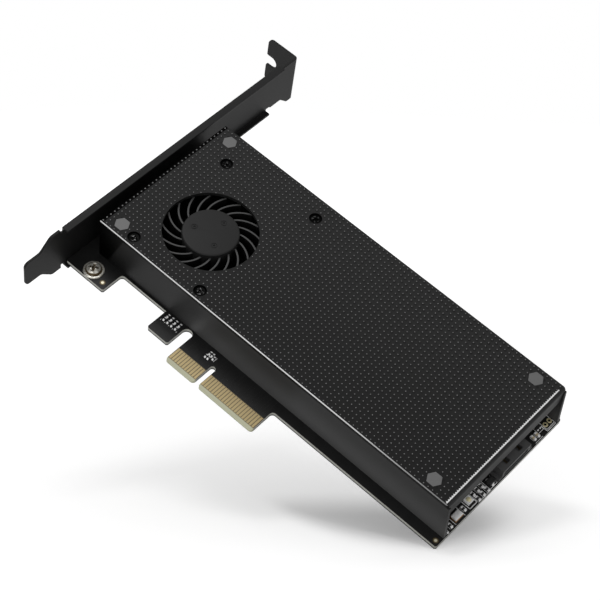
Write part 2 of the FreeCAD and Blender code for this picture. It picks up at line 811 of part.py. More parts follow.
def make_motor():
    bearing = ring(size("fan_bearing_radius"), size("fan_shaft_radius") + size("fan_shaft_play"),
                   size("fan_boss_height"), floor_top)
    finished(bearing, "fan_bearing")
    cup_outer = size("hub_radius") - size("hub_wall")
    cup_inner = cup_outer - size("rotor_cup_wall")
    magnet_inner = cup_inner - size("magnet_thickness")
    hub_roof = hub_top - size("hub_wall")
    cup_roof = hub_roof - size("rotor_cup_wall")
    cup_bottom = hub_bottom + size("rotor_cup_lift")
    cup = cut(cylinder(cup_outer, hub_roof - cup_bottom, fan_x, fan_y, cup_bottom),
              cylinder(cup_inner, cup_roof - cup_bottom, fan_x, fan_y, cup_bottom))
    finished(cup, "fan_rotor_cup")
    magnet_bottom = cup_bottom + size("magnet_end_gap")
    magnet = ring(cup_inner, magnet_inner, cup_roof - magnet_bottom, magnet_bottom)
    finished(magnet, "fan_magnet_ring")
    shaft_bottom = floor_top + size("shaft_end_gap")
    shaft = cylinder(size("fan_shaft_radius"), cup_roof - shaft_bottom, fan_x, fan_y,
                     shaft_bottom)
    finished(shaft, "fan_shaft")
    stator_radius = magnet_inner - size("rotor_gap")
    stator_z = floor_top + size("stator_lift")
    stator_height = cup_roof - size("stator_top_gap") - stator_z
    disc = cylinder(stator_radius, stator_height, fan_x, fan_y, stator_z)
    arm = stator_radius * 2
    pole = stator_radius * size("stator_pole_share")
    across = box(arm, pole, stator_height, fan_x - arm / 2, fan_y - pole / 2, stator_z)
    along = box(pole, arm, stator_height, fan_x - pole / 2, fan_y - arm / 2, stator_z)
    poles = doc.addObject("Part::MultiCommon", "poles")
    poles.Shapes = [disc, fuse(across, along)]
    eye = cylinder(size("fan_boss_radius") + size("press_play"), stator_height, fan_x, fan_y,
                   stator_z)
    finished(cut(poles, eye), "fan_stator")
    wafer = doc.addObject("Part::Prism", "driver_outline")
    wafer.Polygon = 8
    thickness = size("driver_board_thickness")
    bind(wafer, Circumradius=cup_outer, Height=thickness)
    put(wafer, fan_x, fan_y, floor_top)
    hole = cylinder(size("fan_boss_radius") + size("driver_board_play"), thickness, fan_x,
                    fan_y, floor_top)
    finished(cut(wafer, hole), "fan_driver_board")


# Impeller: a hub cup with a ring of leaning, curved blades
def make_impeller():
    body = new_body("fan_impeller")
    radius, wall = size("hub_radius"), size("hub_wall")
    height = size("hub_height")
    section = new_sketch(body, "hub_section", "XZ_Plane")
    polygon(section, [(0, height - wall), (radius - wall, height - wall), (radius - wall, 0),
                      (radius, 0), (radius, height), (0, height)])
    hub = body.newObject("PartDesign::Revolution", "hub")
    hub.Profile = (section, [""])
    hub.ReferenceAxis = (section, ["V_Axis"])
    hub.Angle = 360
    # One curved blade, then copied round the hub
    blade_top = cover_under - size("blade_top_gap") - hub_bottom
    blade = new_sketch(body, "blade_section", "XY_Plane", blade_top - size("blade_height"))
    phase, sweep = size("blade_phase").value, size("blade_sweep").value
    root, tip = radius - wall * 0.5, size("blade_tip_radius")

    def spot(share, side):
        """A corner of the blade: its share of the way out, and which face it is on."""
        angle = math.radians(phase - sweep * share ** 1.1)
        lean = angle - math.radians(42 + 18 * share)
        reach = root + (tip - root) * share
        off = size("blade_thickness") * (side / 2)
        return (reach * math.cos(angle) - off * math.sin(lean),
                reach * math.sin(angle) + off * math.cos(lean))

    shares = [k / 3 for k in range(4)]
    polygon(blade, [spot(k, -1) for k in shares] + [spot(k, 1) for k in reversed(shares)])
    vane = pad(body, "blade", blade, size("blade_height"))
    vanes = body.newObject("PartDesign::PolarPattern", "blades")
    vanes.Originals = [vane]
    vanes.Axis = (origin_plane(body, "Z_Axis"), [""])
    vanes.Angle = 360
    bind(vanes, Occurrences=size("blade_count"))
    body.Tip = vanes
    put(body, fan_x, fan_y, hub_bottom)
    finished(body, "fan_impeller")


# Drive sockets, their contacts, and the posts that hold the far end of each drive
def make_socket(prefix, y, key_offset):
    face, length = size("socket_face"), size("socket_length")
    width, height = size("socket_width"), size("socket_height")
    slot_floor, slot_height = size("socket_slot_floor"), size("socket_slot_height")
    depth, slot_width = size("socket_slot_depth"), size("socket_slot_width")
    shell = box(length, width, height, face - length, y - width / 2, 0)
    slot = box(depth + 1, slot_width, slot_height, face - depth, y - slot_width / 2, slot_floor)
    lip = size("socket_lip_depth")
    mouth = box(lip + 1, slot_width, slot_height * 2, face - lip, y - slot_width / 2,
                slot_floor)
    key = box(depth, size("socket_key_width"), slot_height, face - depth,
              y + key_offset - size("socket_key_width") / 2, slot_floor)
    finished(fuse(cut(shell, slot, mouth), key), f"{prefix}_socket")
    body = new_body(f"{prefix}_socket_contacts")
    body.AllowCompound = True
    pitch, contact = size("socket_contact_pitch"), size("socket_contact_width")
    count = size("socket_contact_count")
    start = y - pitch * (count - 1) / 2 - contact / 2
    back = face - length
    leg = new_sketch(body, f"{prefix}_leg_outline", "XY_Plane")
    rectangle(leg, back - size("socket_leg_reach"), back, start, start + contact)
    foot = pad(body, f"{prefix}_leg", leg, size("socket_leg_height"))
    repeat(body, f"{prefix}_legs", foot, leg, "V_Axis", pitch, count)
    finished(body, f"{prefix}_socket_contacts")


def make_post(prefix, y):
    height, floor = size("post_height"), size("post_floor")
    post = cut(cylinder(size("post_radius"), height, post_x, y, 0),
               cylinder(size("small_thread_radius"), height - floor, post_x, y, floor))
    finished(post, f"{prefix}_post")


# Data port: a right-angle receptacle with a contact blade and two latch windows
def make_port():
    length, width, height = size("port_length"), size("port_width"), size("port_height")
    right = board_tail - size("port_tail_gap")
    y = size("port_y")
    mouth_width, mouth_height = size("port_mouth_width"), size("port_mouth_height")
    mouth_depth = size("port_mouth_depth")
    mouth_z = (height - mouth_height) / 2
    shell = box(length, width, height, right - length, y - width / 2, 0)
    mouth = box(mouth_depth + 1, mouth_width, mouth_height, right - mouth_depth,
                y - mouth_width / 2, mouth_z)
    window, spread = size("port_window"), size("port_window_spread")
    window_x = right - size("port_window_inset") - window
    windows = [box(window, window, height, window_x, y + offset - window / 2, height / 2)
               for offset in (-spread / 2, spread / 2)]
    notch, notch_length = size("port_notch_width"), length / 2
    notches = [box(notch_length, notch, height, right - notch_length, edge_y,
                   size("port_notch_floor"))
               for edge_y in (y - width / 2, y + width / 2 - notch)]
    blade_width, thickness = size("port_blade_width"), size("port_blade_thickness")
    blade_z = (height - thickness) / 2
    blade_length = mouth_depth - size("tail_part_gap")
    blade = box(blade_length, blade_width, thickness, right - mouth_depth,
                y - blade_width / 2, blade_z)
    bar = size("port_hook")
    hook = box(blade_length, bar, thickness, right - mouth_depth, y + blade_width / 2 - bar,
               blade_z - bar)
    finished(fuse(cut(shell, mouth, *windows, *notches), blade, hook), "data_port")
    contact, pitch = size("port_contact_width"), size("port_contact_pitch")
    contacts = [box(blade_length - contact, contact, size("port_contact_thickness"),
                    right - mouth_depth, y + pitch * (k - 3) - contact / 2,
                    blade_z + thickness)
                for k in range(7)]
    finished(group(*contacts), "data_port_contacts")


# Small surface-mount parts
def chip(x, y, length, width, height):
    return box(length, width, height, as_dim(x) - as_dim(length) / 2,
               as_dim(y) - as_dim(width) / 2, 0)


def make_tail_parts():
    front, port = size("cover_front_face"), size("port_y")
    crystal_y = front + size("crystal_from_front")
    light_y = front + size("light_from_front")
    diode_y = port - size("diode_from_port")
    regulator_y = port + size("regulator_from_port")
    finished(chip(board_tail - 2.0, crystal_y, 2.4, 3.6, 1.1), "clock_crystal")
    finished(chip(board_tail - 2.7, light_y, 2.2, 2.4, 1.2), "status_light")
    finished(chip(board_tail - 1.9, diode_y, 2.6, 2.6, 1.6), "port_diode")
    finished(chip(board_tail - 3.2, regulator_y, 1.4, 2.2, 1.0), "port_regulator")
    length, width = size("tail_chip_length"), size("tail_chip_width")
    height = size("tail_chip_height")
    inner, outer = board_tail - 3.2, board_tail - 1.2
    places = [(board_tail - 1.5, crystal_y - 3.7), (board_tail - 2.1, crystal_y + 3.25),
              (inner, diode_y - 6.6), (outer, diode_y - 6.6), (inner, diode_y - 4.6),
              (outer, diode_y - 4.4), (inner, diode_y - 2.7), (outer, diode_y - 2.4),
              (board_tail - 2.0, regulator_y - 3.6), (board_tail - 1.9, regulator_y - 1.9)]
    chips = [chip(x, y, length, width, height) for x, y in places]
    chips.append(chip(board_tail - 0.9, crystal_y - 5.9, width * 1.25, width * 0.75, height))
    finished(group(*chips), "tail_resistors")


def make_edge_parts():
    """Coupling capacitors on the hold-down tab and strap resistors above the contacts."""
    hold_right = -size("short_tongue_reach") - size("relief_slot_width")
    lower, upper = size("board_shelf_edge") - 2.4, size("board_shelf_edge") - 0.9
    width, length, height = 0.6, 1.1, 0.5
    capacitors = []
    for column in range(4):
        x = hold_right - 6.5 + column * 1.6
        capacitors.append(chip(x, lower, width, length, height))
        capacitors.append(chip(x + 0.1, upper, width, length, height))
    finished(group(*capacitors), "coupling_capacitors")
    straps = [(-4.4, lower - 0.6), (-3.4, lower - 0.6), (-4.1, upper - 0.6),
              (-3.1, upper - 0.6), (-2.2, upper - 1.2)]
    finished(group(*[chip(x, y, width, length, height) for x, y in straps]),
             "strap_resistors")


def make_inner_parts():
    """Power parts beside the sockets and the socket that the fan plugs into."""
    x, y = size("fan_header_x"), size("fan_header_y")
    length, width = size("fan_header_length"), size("fan_header_width")
    wall, floor = size("fan_header_wall"), size("fan_header_floor")
    shell = box(length, width, size("fan_header_height"), x - length / 2, y - width / 2, 0)
    well_y = y - width / 2 - wall
    well = box(length - wall * 2, width, size("fan_header_height") - floor * 2 + wall,
               x - length / 2 + wall, well_y, floor)
    finished(cut(shell, well), "fan_header")
    pin, half_pitch = size("fan_header_pin"), size("fan_header_pitch") / 2
    pins = [box(pin, pin * 4, pin, x + offset - pin / 2, well_y + width - pin * 4,
                size("fan_header_height") / 2)
            for offset in (-half_pitch, half_pitch)]
    finished(group(*pins), "fan_header_pins")
    under_fan = size("socket_face") - size("socket_length") - 7
    finished(chip(under_fan, 22.0, 6.6, 6.6, 2.8), "power_inductor")
    finished(chip(under_fan + 1, 31.5, 5.0, 4.0, 0.9), "power_regulator")
    finished(group(*[chip(under_fan, y, 7.3, 4.3, 2.8) for y in (44.0, 50.0)]),
             "bulk_capacitors")


make_board()
make_contacts("edge_contacts_front", as_dim(0), False)
make_contacts("edge_contacts_back", board_under, True)
make_bracket()
make_bracket_screws()
make_cover()
make_standoffs()
make_cover_screws()
make_fan_housing()
make_fan_screws()
make_motor()
make_impeller()
make_socket("nvme", size("nvme_bay_y"), size("nvme_key_offset"))
make_socket("sata", size("sata_bay_y"), -size("sata_key_offset"))
make_post("nvme", size("nvme_bay_y"))
make_post("sata", size("sata_bay_y"))
make_port()
make_tail_parts()
make_edge_parts()
make_inner_parts()
doc.recompute()

# Every object has to be sound before anything is written
for thing in doc.Objects:
    if "Invalid" in thing.State or "Error" in thing.State:
        raise RuntimeError(f"{thing.Label} failed: {thing.State}")
for thing in pieces:
    if thing.Shape.isNull() or not thing.Shape.isValid():
        raise RuntimeError(f"{thing.Label} has no valid shape")

os.makedirs("parts", exist_ok=True)
for thing in pieces:
    thing.Shape.exportStep(os.path.join("parts", f"{thing.Label}.step"))
    print(f"{thing.Label}: {len(thing.Shape.Solids)} solids, {thing.Shape.Volume:.1f} cubic mm")
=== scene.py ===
# %% [markdown]
# # An expansion card for two drives, dressed for its portrait
# The CAD part is already a true-to-size model. This notebook loads it as a fixed frame, gives
# every sheet, moulding and plated contact a finish, adds the small things that a CAD file
# leaves out, and lights it like a product photo. Lengths are metres unless a name says mm.

import json
import math
import random

import bmesh
import bpy
from mathutils import Matrix, Vector

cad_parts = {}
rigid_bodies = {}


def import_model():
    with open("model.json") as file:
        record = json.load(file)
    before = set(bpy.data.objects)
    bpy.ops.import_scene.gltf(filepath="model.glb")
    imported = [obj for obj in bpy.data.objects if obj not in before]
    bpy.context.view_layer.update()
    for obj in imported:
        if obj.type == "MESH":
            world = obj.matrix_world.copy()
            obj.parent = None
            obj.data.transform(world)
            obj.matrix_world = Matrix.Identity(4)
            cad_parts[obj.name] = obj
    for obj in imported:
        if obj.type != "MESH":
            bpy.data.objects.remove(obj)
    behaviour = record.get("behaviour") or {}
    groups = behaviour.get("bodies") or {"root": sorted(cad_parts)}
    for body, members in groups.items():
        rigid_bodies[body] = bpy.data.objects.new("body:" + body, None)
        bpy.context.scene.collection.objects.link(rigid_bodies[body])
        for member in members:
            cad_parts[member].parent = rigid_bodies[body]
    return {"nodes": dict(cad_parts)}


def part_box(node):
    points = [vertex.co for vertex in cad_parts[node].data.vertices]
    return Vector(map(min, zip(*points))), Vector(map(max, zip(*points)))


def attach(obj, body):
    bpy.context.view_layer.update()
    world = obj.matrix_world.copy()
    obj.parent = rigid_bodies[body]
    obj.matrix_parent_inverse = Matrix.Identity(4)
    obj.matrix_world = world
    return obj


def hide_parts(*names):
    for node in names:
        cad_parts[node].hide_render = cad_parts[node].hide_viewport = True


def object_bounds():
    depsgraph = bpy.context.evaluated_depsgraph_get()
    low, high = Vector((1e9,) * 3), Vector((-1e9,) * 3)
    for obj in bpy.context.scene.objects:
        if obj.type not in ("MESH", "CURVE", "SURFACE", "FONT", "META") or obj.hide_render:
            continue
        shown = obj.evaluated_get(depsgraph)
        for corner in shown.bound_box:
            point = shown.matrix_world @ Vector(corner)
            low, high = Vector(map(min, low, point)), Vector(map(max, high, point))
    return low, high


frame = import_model()
cad_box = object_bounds()
nodes = frame["nodes"]

# %% [markdown]
# ## The camera
# A product photo is taken from far away with a long lens, so the card keeps its shape. The
# lens and the place below come from matching corners of the bracket, cover and edge connector
# in the photo with the same corners of the CAD part.

# %% Camera
MM = 0.001
PER_METRE = 1000.0
EYE = Vector((164.7, -205.5, 414.5)) * MM
LOOK = Vector((-0.3198, 0.4894, -0.8113))
UP = Vector((-0.5916, 0.5657, 0.5744))


def placed(name, data):
    """A new object at the origin."""
    made = bpy.data.objects.new(name, data)
    bpy.context.scene.collection.objects.link(made)
    return made


camera = placed("portrait_camera", bpy.data.cameras.new("portrait_camera"))
bpy.context.scene.camera = camera
camera.data.sensor_width = 36.0
camera.data.lens = 101.0
camera.data.clip_start, camera.data.clip_end = 0.01, 10.0
right = LOOK.cross(UP).normalized()
upright = right.cross(LOOK).normalized()
camera.matrix_world = Matrix.LocRotScale(
    EYE, Matrix((right, upright, -LOOK)).transposed().to_quaternion(), None)
print("camera sees", round(2 * math.degrees(math.atan(18 / camera.data.lens)), 1), "degrees")

# %% [markdown]
# ## Writing shader maths as Python
# A finish is mostly arithmetic on position: how far along the board, inside which band, how
# near to a dot. Wiring Math nodes by hand is slow to read, so one class wraps a socket and
# lets Python operators add the nodes. A second class holds one material under construction.


# %% Sockets that can be added up
class Value:
    """A node's output that takes part in arithmetic."""

    def __init__(self, finish, socket):
        self.finish, self.socket = finish, socket

    def calc(self, operation, *others, clamp=False):
        settings = {"operation": operation, "use_clamp": clamp}
        return self.finish.node("ShaderNodeMath", settings, [self, *others])[0]

    def flipped(self, operation, other):
        return self.finish.node("ShaderNodeMath", {"operation": operation}, [other, self])[0]

    def __add__(self, other):
        return self.calc("ADD", other)

    def __sub__(self, other):
        return self.calc("SUBTRACT", other)

    def __mul__(self, other):
        return self.calc("MULTIPLY", other)

    def __truediv__(self, other):
        return self.calc("DIVIDE", other)

    def __rsub__(self, other):
        return self.flipped("SUBTRACT", other)

    __radd__, __rmul__ = __add__, __mul__

    def clamped(self):
        return self.calc("ADD", 0.0, clamp=True)


class Finish:
    """One material: its nodes, its position in millimetres, and its shader's sockets."""

    def __init__(self, name, **constants):
        self.material = bpy.data.materials.new(name)
        self.material.use_nodes = True
        self.tree = self.material.node_tree
        self.shader = self.tree.nodes["Principled BSDF"]
        self.place = self.node("ShaderNodeTexCoord")["Object"]
        metres = self.node("ShaderNodeSeparateXYZ", {}, [self.place])
        self.x, self.y, self.z = (metres[k] * PER_METRE for k in range(3))
        for socket, value in constants.items():
            self.shader.inputs[socket.replace("_", " ")].default_value = value

    def node(self, kind, settings=None, inputs=()):
        """Add a node: settings first, then its sockets by order or by name."""
        made = self.tree.nodes.new(kind)
        for name, value in (settings or {}).items():
            setattr(made, name, value)
        pairs = inputs.items() if isinstance(inputs, dict) else enumerate(inputs)
        for key, value in pairs:
            if isinstance(value, Value):
                self.tree.links.new(value.socket, made.inputs[key])
            else:
                made.inputs[key].default_value = value
        return Outputs(self, made)

    def noise(self, per_mm, detail=3.0):
        """Cloudy variation from 0 to 1, with so many blotches per millimetre."""
        inputs = {"Vector": self.place, "Scale": per_mm * PER_METRE, "Detail": detail,
                  "Roughness": 0.55}
        return self.node("ShaderNodeTexNoise", {"noise_dimensions": "3D"}, inputs)[0]

    def mix(self, share, low, high):
        """One colour where share is 0, the other where it is 1."""
        settings = {"data_type": "RGBA", "clamp_factor": True}
        return self.node("ShaderNodeMix", settings, {0: share, 6: low, 7: high})[2]

    def step(self, value, start, soft):
        """0 below start, 1 above start + soft, smooth between."""
        inputs = {"Value": value, "From Min": start, "From Max": start + soft}
        return self.node("ShaderNodeMapRange", {"interpolation_type": "SMOOTHSTEP"}, inputs)[0]

    def away(self, x, y):
        """The distance in millimetres from an upright axis."""
        off_x, off_y = self.x - x, self.y - y
        return (off_x * off_x + off_y * off_y).calc("SQRT")

    def nearest(self, *spots):
        """The distance in millimetres from the nearest of several upright axes."""
        reach = self.away(*spots[0])
        for spot in spots[1:]:
            reach = reach.calc("MINIMUM", self.away(*spot))
        return reach

    def band(self, value, low, high, soft):
        """1 between low and high, 0 outside."""
        return self.step(value, low - soft, soft) * (1.0 - self.step(value, high, soft))

    def feed(self, socket, value):
        self.tree.links.new(value.socket, self.shader.inputs[socket])

    def relief(self, height, strength):
        """Turn a height into tilted shading normals."""
        inputs = {"Strength": strength, "Distance": 0.05 * MM, "Height": height}
        self.feed("Normal", self.node("ShaderNodeBump", {}, inputs)["Normal"])


class Outputs:
    """A node's outputs, by order or by name."""

    def __init__(self, finish, made):
        self.finish, self.made = finish, made

    def __getitem__(self, key):
        return Value(self.finish, self.made.outputs[key])


def tone(level, tint=(1.0, 1.0, 1.0)):
    """A grey as the eye reads it on a screen, 0 to 255, with a slight tint."""
    shade = [min(1.0, level / 255.0 * t) for t in tint]
    linear = [s / 12.92 if s < 0.04045 else ((s + 0.055) / 1.055) ** 2.4 for s in shade]
    return (*linear, 1.0)


def grey(share):
    """A grey by its share of white light, 0 to 1."""
    return (share, share, share, 1.0)


print("mid grey on screen is", round(tone(128)[0], 3), "of white light")

# %% [markdown]
# ## Pieces
# New pieces are small meshes made with bmesh operators. One helper turns a finished bmesh into
# an object at the origin, marks its hard edges so that round faces shade smoothly, and lets it
# ride on the CAD body that carries it.


# %% From bmesh to a piece
CREASE, EDGE_TO_ROUND = math.radians(32.0), math.radians(30.0)
TOUCHING = 0.002 * MM


def shade(bm):
    """Smooth faces with hard edges where the surface turns sharply."""
    for face in bm.faces:
        face.smooth = True
    for edge in bm.edges:
        turn = edge.calc_face_angle(math.pi) if len(edge.link_faces) == 2 else math.pi
        edge.smooth = turn < CREASE


def to_piece(bm, name, finish, body="card", replaces=(), flat=False):
    """A flat piece keeps its large faces level where rounded edges meet them."""
    shade(bm)
    mesh = bpy.data.meshes.new(name)
    bm.to_mesh(mesh)
    bm.free()
    piece = placed(name, mesh)
    mesh.materials.append(finish.material)
    if flat:
        level = piece.modifiers.new("level", "WEIGHTED_NORMAL")
        level.keep_sharp = True
    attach(piece, body)
    if replaces:
        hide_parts(*replaces)


def paint(finish, *names):
    """Give CAD nodes a finish."""
    for name in names:
        mesh = nodes[name].data
        mesh.materials.clear()
        mesh.materials.append(finish.material)


def softened(node, width):
    """A merged copy of a CAD node with its hard edges rounded off, as a bmesh."""
    bm = bmesh.new()
    bm.from_mesh(nodes[node].data)
    bmesh.ops.remove_doubles(bm, verts=bm.verts, dist=TOUCHING)
    bmesh.ops.dissolve_limit(bm, angle_limit=math.radians(0.5), verts=bm.verts,
                             edges=bm.edges, delimit=set())
    hard = [e for e in bm.edges
            if len(e.link_faces) == 2 and e.calc_face_angle() > EDGE_TO_ROUND]
    bmesh.ops.bevel(bm, geom=hard, offset=width, offset_type="OFFSET", affect="EDGES",
                    segments=2, profile=0.5, material=-1, clamp_overlap=True)
    return bm


def solids_in(node):
    """The lowest and highest corner of each separate solid in a CAD node."""
    bm = bmesh.new()
    bm.from_mesh(nodes[node].data)
    bmesh.ops.remove_doubles(bm, verts=bm.verts, dist=TOUCHING)
    boxes, met = [], set()
    for start in bm.verts:
        reached, waiting = [], [start]
        while waiting:
            vert = waiting.pop()
            if vert not in met:
                met.add(vert)
                reached.append(vert.co.copy())
                waiting += [edge.other_vert(vert) for edge in vert.link_edges]
        if reached:
            boxes.append((Vector(map(min, zip(*reached))), Vector(map(max, zip(*reached)))))
    bm.free()
    return boxes


def middle(node):
    low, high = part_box(node)
    return (low + high) / 2


def box_mm(node):
    """A node's lowest and highest corner, its centre and its size, in millimetres."""
    low, high = (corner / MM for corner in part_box(node))
    return low, high, (low + high) / 2, high - low


print("the board measures", [round(side, 2) for side in box_mm("circuit_board")[3]], "mm")

# %% [markdown]
# ## The floor
# In the photo the card leans, and only the tail's lower corner touches the white floor, so the
# soft shadow is a flat wedge under it. The card could be turned on a level floor, but CAD pieces
# stay where they are, so the floor is one flat sheet that leans against the card instead.

# %% Floor sheet
FLOOR_SEEN_AT = math.radians(10.0)
FLOOR_REACH = 1.5
floor_normal = (upright * math.cos(FLOOR_SEEN_AT) - LOOK * math.sin(FLOOR_SEEN_AT)).normalized()
lowest = min(floor_normal.dot(v.co) for node in nodes.values() for v in node.data.vertices)
floor_bm = bmesh.new()
bmesh.ops.create_grid(floor_bm, x_segments=1, y_segments=1, size=FLOOR_REACH)
bmesh.ops.transform(floor_bm, verts=floor_bm.verts,
                    matrix=Vector((0, 0, 1)).rotation_difference(floor_normal).to_matrix())
bmesh.ops.translate(floor_bm, verts=floor_bm.verts, vec=floor_normal * lowest)
floor_mesh = bpy.data.meshes.new("floor")
floor_bm.to_mesh(floor_mesh)
floor_bm.free()
floor = placed("floor", floor_mesh)
print("floor leans", round(math.degrees(floor_normal.angle(Vector((0, 0, 1)))), 1), "degrees")

# %% [markdown]
# ## White paper
# A white floor lit at a plain level is only pale grey, so its shader adds a little light of its
# own for the camera, and a third as much for reflections, and still keeps the shadow. Under the
# card's lower edge it adds less, in a wedge with a curved front: a painted shadow that deepens the
# real one there. From below the paper is clear, so that it hides nothing in other views.

# %% Paper
GLOW, FAR_GLOW, WEDGE_GLOW = grey(0.36), grey(0.52), grey(0.1)
WEDGE_TIP, WEDGE_CURVE = (64.0, 28.0), 0.022
paper = Finish("floor_paper", Roughness=0.9, Specular_IOR_Level=0.0, Emission_Strength=1.0)
paper.shader.inputs["Base Color"].default_value = grey(0.86)
rays = paper.node("ShaderNodeLightPath")
seen = (rays["Is Camera Ray"] + rays["Is Glossy Ray"] * 0.3).clamped()
far = paper.step(paper.away(0, 0), 200.0, 200.0)
along, behind = (paper.node("ShaderNodeVectorMath", {"operation": "DOT_PRODUCT"},
                            [paper.place, tuple(way)])["Value"] * PER_METRE
                 for way in (right, floor_normal.cross(right)))
aside = along - WEDGE_TIP[0]
inward = behind + WEDGE_TIP[1] - aside * aside * WEDGE_CURVE
# painted shadow: less glow in a wedge under the card's lower edge
painted_shadow_wedge = (paper.step(inward, -6.0, 20.0) * (1.0 - paper.step(behind, 0.0, 30.0))
         * paper.step(along, 10.0, 20.0) * (1.0 - paper.step(along, 80.0, 20.0)))
lift = paper.mix(painted_shadow_wedge, paper.mix(far, GLOW, FAR_GLOW), WEDGE_GLOW)
paper.feed("Emission Color", paper.mix(seen, grey(0.0), lift))
from_below = paper.node("ShaderNodeNewGeometry")["Backfacing"]
clear = paper.node("ShaderNodeBsdfTransparent")["BSDF"]
opaque = Value(paper, paper.shader.outputs["BSDF"])
sheer = paper.node("ShaderNodeMixShader", {},
                   [from_below * rays["Is Camera Ray"], opaque, clear])["Shader"]
surface = paper.tree.nodes["Material Output"].inputs["Surface"]
paper.tree.links.new(sheer.socket, surface)
floor_mesh.materials.append(paper.material)
print("paper nodes:", len(paper.tree.nodes))

# %% [markdown]
# ## Lamps and sky
# A black product is lit by what it mirrors. A white sky does most of the work, a softbox above
# the bracket draws the fan's blades, and a wider one on the camera's side fills the front wall.
# The camera itself sees pure white where it looks past the card.

# %% Lamps and sky
SKY_LIGHT = 0.66
world = bpy.data.worlds.new("studio")
bpy.context.scene.world = world
world.use_nodes = True
sky = world.node_tree.nodes["Background"]
sky.inputs["Color"].default_value = grey(1.0)
sky_ray = world.node_tree.nodes.new("ShaderNodeLightPath").outputs["Is Camera Ray"]
strength = world.node_tree.nodes.new("ShaderNodeMath")
strength.operation = "MULTIPLY_ADD"
world.node_tree.links.new(sky_ray, strength.inputs[0])
strength.inputs[1].default_value, strength.inputs[2].default_value = 1 - SKY_LIGHT, SKY_LIGHT
world.node_tree.links.new(strength.outputs[0], sky.inputs["Strength"])


def softbox(name, place, aim, size, watts):
    """A square lamp that faces a point."""
    lamp = bpy.data.lights.new(name, "AREA")
    lamp.shape, lamp.size, lamp.energy = "SQUARE", size, watts
    holder = placed(name, lamp)
    holder.location = place
    holder.rotation_mode = "QUATERNION"
    holder.rotation_quaternion = (Vector(aim) - Vector(place)).to_track_quat("-Z", "Y")


softbox("key_lamp", (-0.55, 0.25, 0.9), (0, 0.03, 0), 0.36, 2.0)
softbox("fill_lamp", (0.12, -0.64, 0.72), (0.03, 0.03, 0), 0.5, 1.3)
bpy.context.scene.view_settings.view_transform = "Standard"

# %% [markdown]
# ## Satin black coat
# The cover and the bracket are steel under a thin satin black coat. Up close such a coat has a
# fine orange-peel grain and a slightly uneven gloss, so both the roughness and the relief come
# from noise. One function makes the coat, and each sheet then gets its own marks.

# %% Black coat
def satin_black(name, level, rough, grain):
    """A satin coat, and its shade before any marks."""
    finish = Finish(name, Specular_IOR_Level=0.2)
    cloud = finish.noise(0.05, 2.0)
    speck = finish.noise(grain, 4.0)
    shade_of = finish.mix(cloud * 0.6 + speck * 0.4, tone(level * 0.82), tone(level * 1.16))
    finish.feed("Roughness", cloud * 0.08 + speck * 0.1 + rough)
    finish.relief(speck, 0.16)
    return finish, shade_of


bracket_coat, bracket_shade = satin_black("bracket_coat", 22.0, 0.36, 4.0)
bracket_coat.feed("Base Color", bracket_shade)
cover_coat, cover_shade = satin_black("cover_coat", 28.0, 0.42, 6.0)
print("satin black mixed for the bracket and the cover")

# %% [markdown]
# ## Painted highlights and painted shade
# The cover's front edge carries a painted highlight that fades towards the tail, and a jagged
# painted highlight runs before the tail bend. The other rims, the screws' seats, the strip under
# the front edge and the bracket's shadow in the corner of the front wall catch no light, so they
# are painted black as shade. Each mark is a mask on the position, which stays sharp in close
# views. Black paint would still shine grey, so what is painted black is also metallic.

# %% Painted highlights and painted shade on the cover
HIGHLIGHT_WHITE, SHADE_BLACK = tone(225), tone(3)
TOP_BEND = 15.84
BRACKET_SHADOW_SLOPE = 0.417
x, y, z = cover_coat.x, cover_coat.y, cover_coat.z
step, band, mix = cover_coat.step, cover_coat.band, cover_coat.mix
upper = step(z, TOP_BEND, 0.03)
# painted highlight along the front edge, fading towards the tail
front_edge_highlight = (1.0 - step(y, 13.24, 0.03)) * upper * (1.0 - step(x, 30.0, 50.0) * 0.7)
# a jagged painted highlight just before the tail bend
highlight_jag = cover_coat.noise(1.4, 2.0) * 0.16
tail_bend_highlight = (band(x + highlight_jag, 80.5, 80.84, 0.02) * step(z, 16.05, 0.02)
             * band(y, 13.5, 65.4, 0.1))
bright = (front_edge_highlight + tail_bend_highlight).clamped()
# painted shade on the rims at the bracket end and at the back
rim_shade = (1.0 - step(x, -51.95, 0.06) + step(y, 67.3, 0.06)).clamped()
wall = (1.0 - step(y, 13.3, 0.1)) * (1.0 - upper)
# painted shadow of the bracket in the front wall's corner, and painted shade under the front edge
corner = 1.0 - step(x - z * BRACKET_SHADOW_SLOPE, -49.7, 0.6)
shade_under_edge = step(z, 14.5, 0.5) * 0.8
FAN_SCREWS = [(middle(f"fan_screw_{k}") / MM).xy for k in range(1, 5)]
# painted shade in the countersunk seats of the fan screws
seats = 1.0 - step(cover_coat.nearest(*FAN_SCREWS), 2.0, 0.06)
# all painted shade, made black and metallic
black = (rim_shade * upper + seats + wall * (corner + shade_under_edge).clamped()).clamped()
print("seats for screws at", [tuple(round(v, 1) for v in spot) for spot in FAN_SCREWS])

# %% [markdown]
# ## Painted shade, painted floor light and painted dot shadows
# A wide satin sheet never shows one grey, and here its greys are painted. The top is painted
# darker towards the front edge as shade, and the walls are painted lighter low down, as the light
# of the white floor on them. The front wall is painted dark by the bracket and lighter towards the
# tail. Beside each dot a small painted shadow falls, deeper in some patches than in others.

# %% Painted shade and light on the cover
DOT_PITCH = 1.6
DOT_START = (-52.7, 13.85)
DOT_SHADOW_ASIDE = 0.26
# painted shade, darker towards the front edge
front_painted_shade = (1.0 - step(y, 10.0, 58.0)) * (1.0 - step(x, 80.6, 0.3))
# painted light of the white floor, low on the walls
floor_bounce_light = 1.0 - step(z, 1.0, 12.0)
# front wall: painted shade near the bracket, painted light towards the tail and low down
wall_light_and_shade = mix(step(x, -28.0, 25.0), tone(16), mix(floor_bounce_light, tone(42), tone(76)))
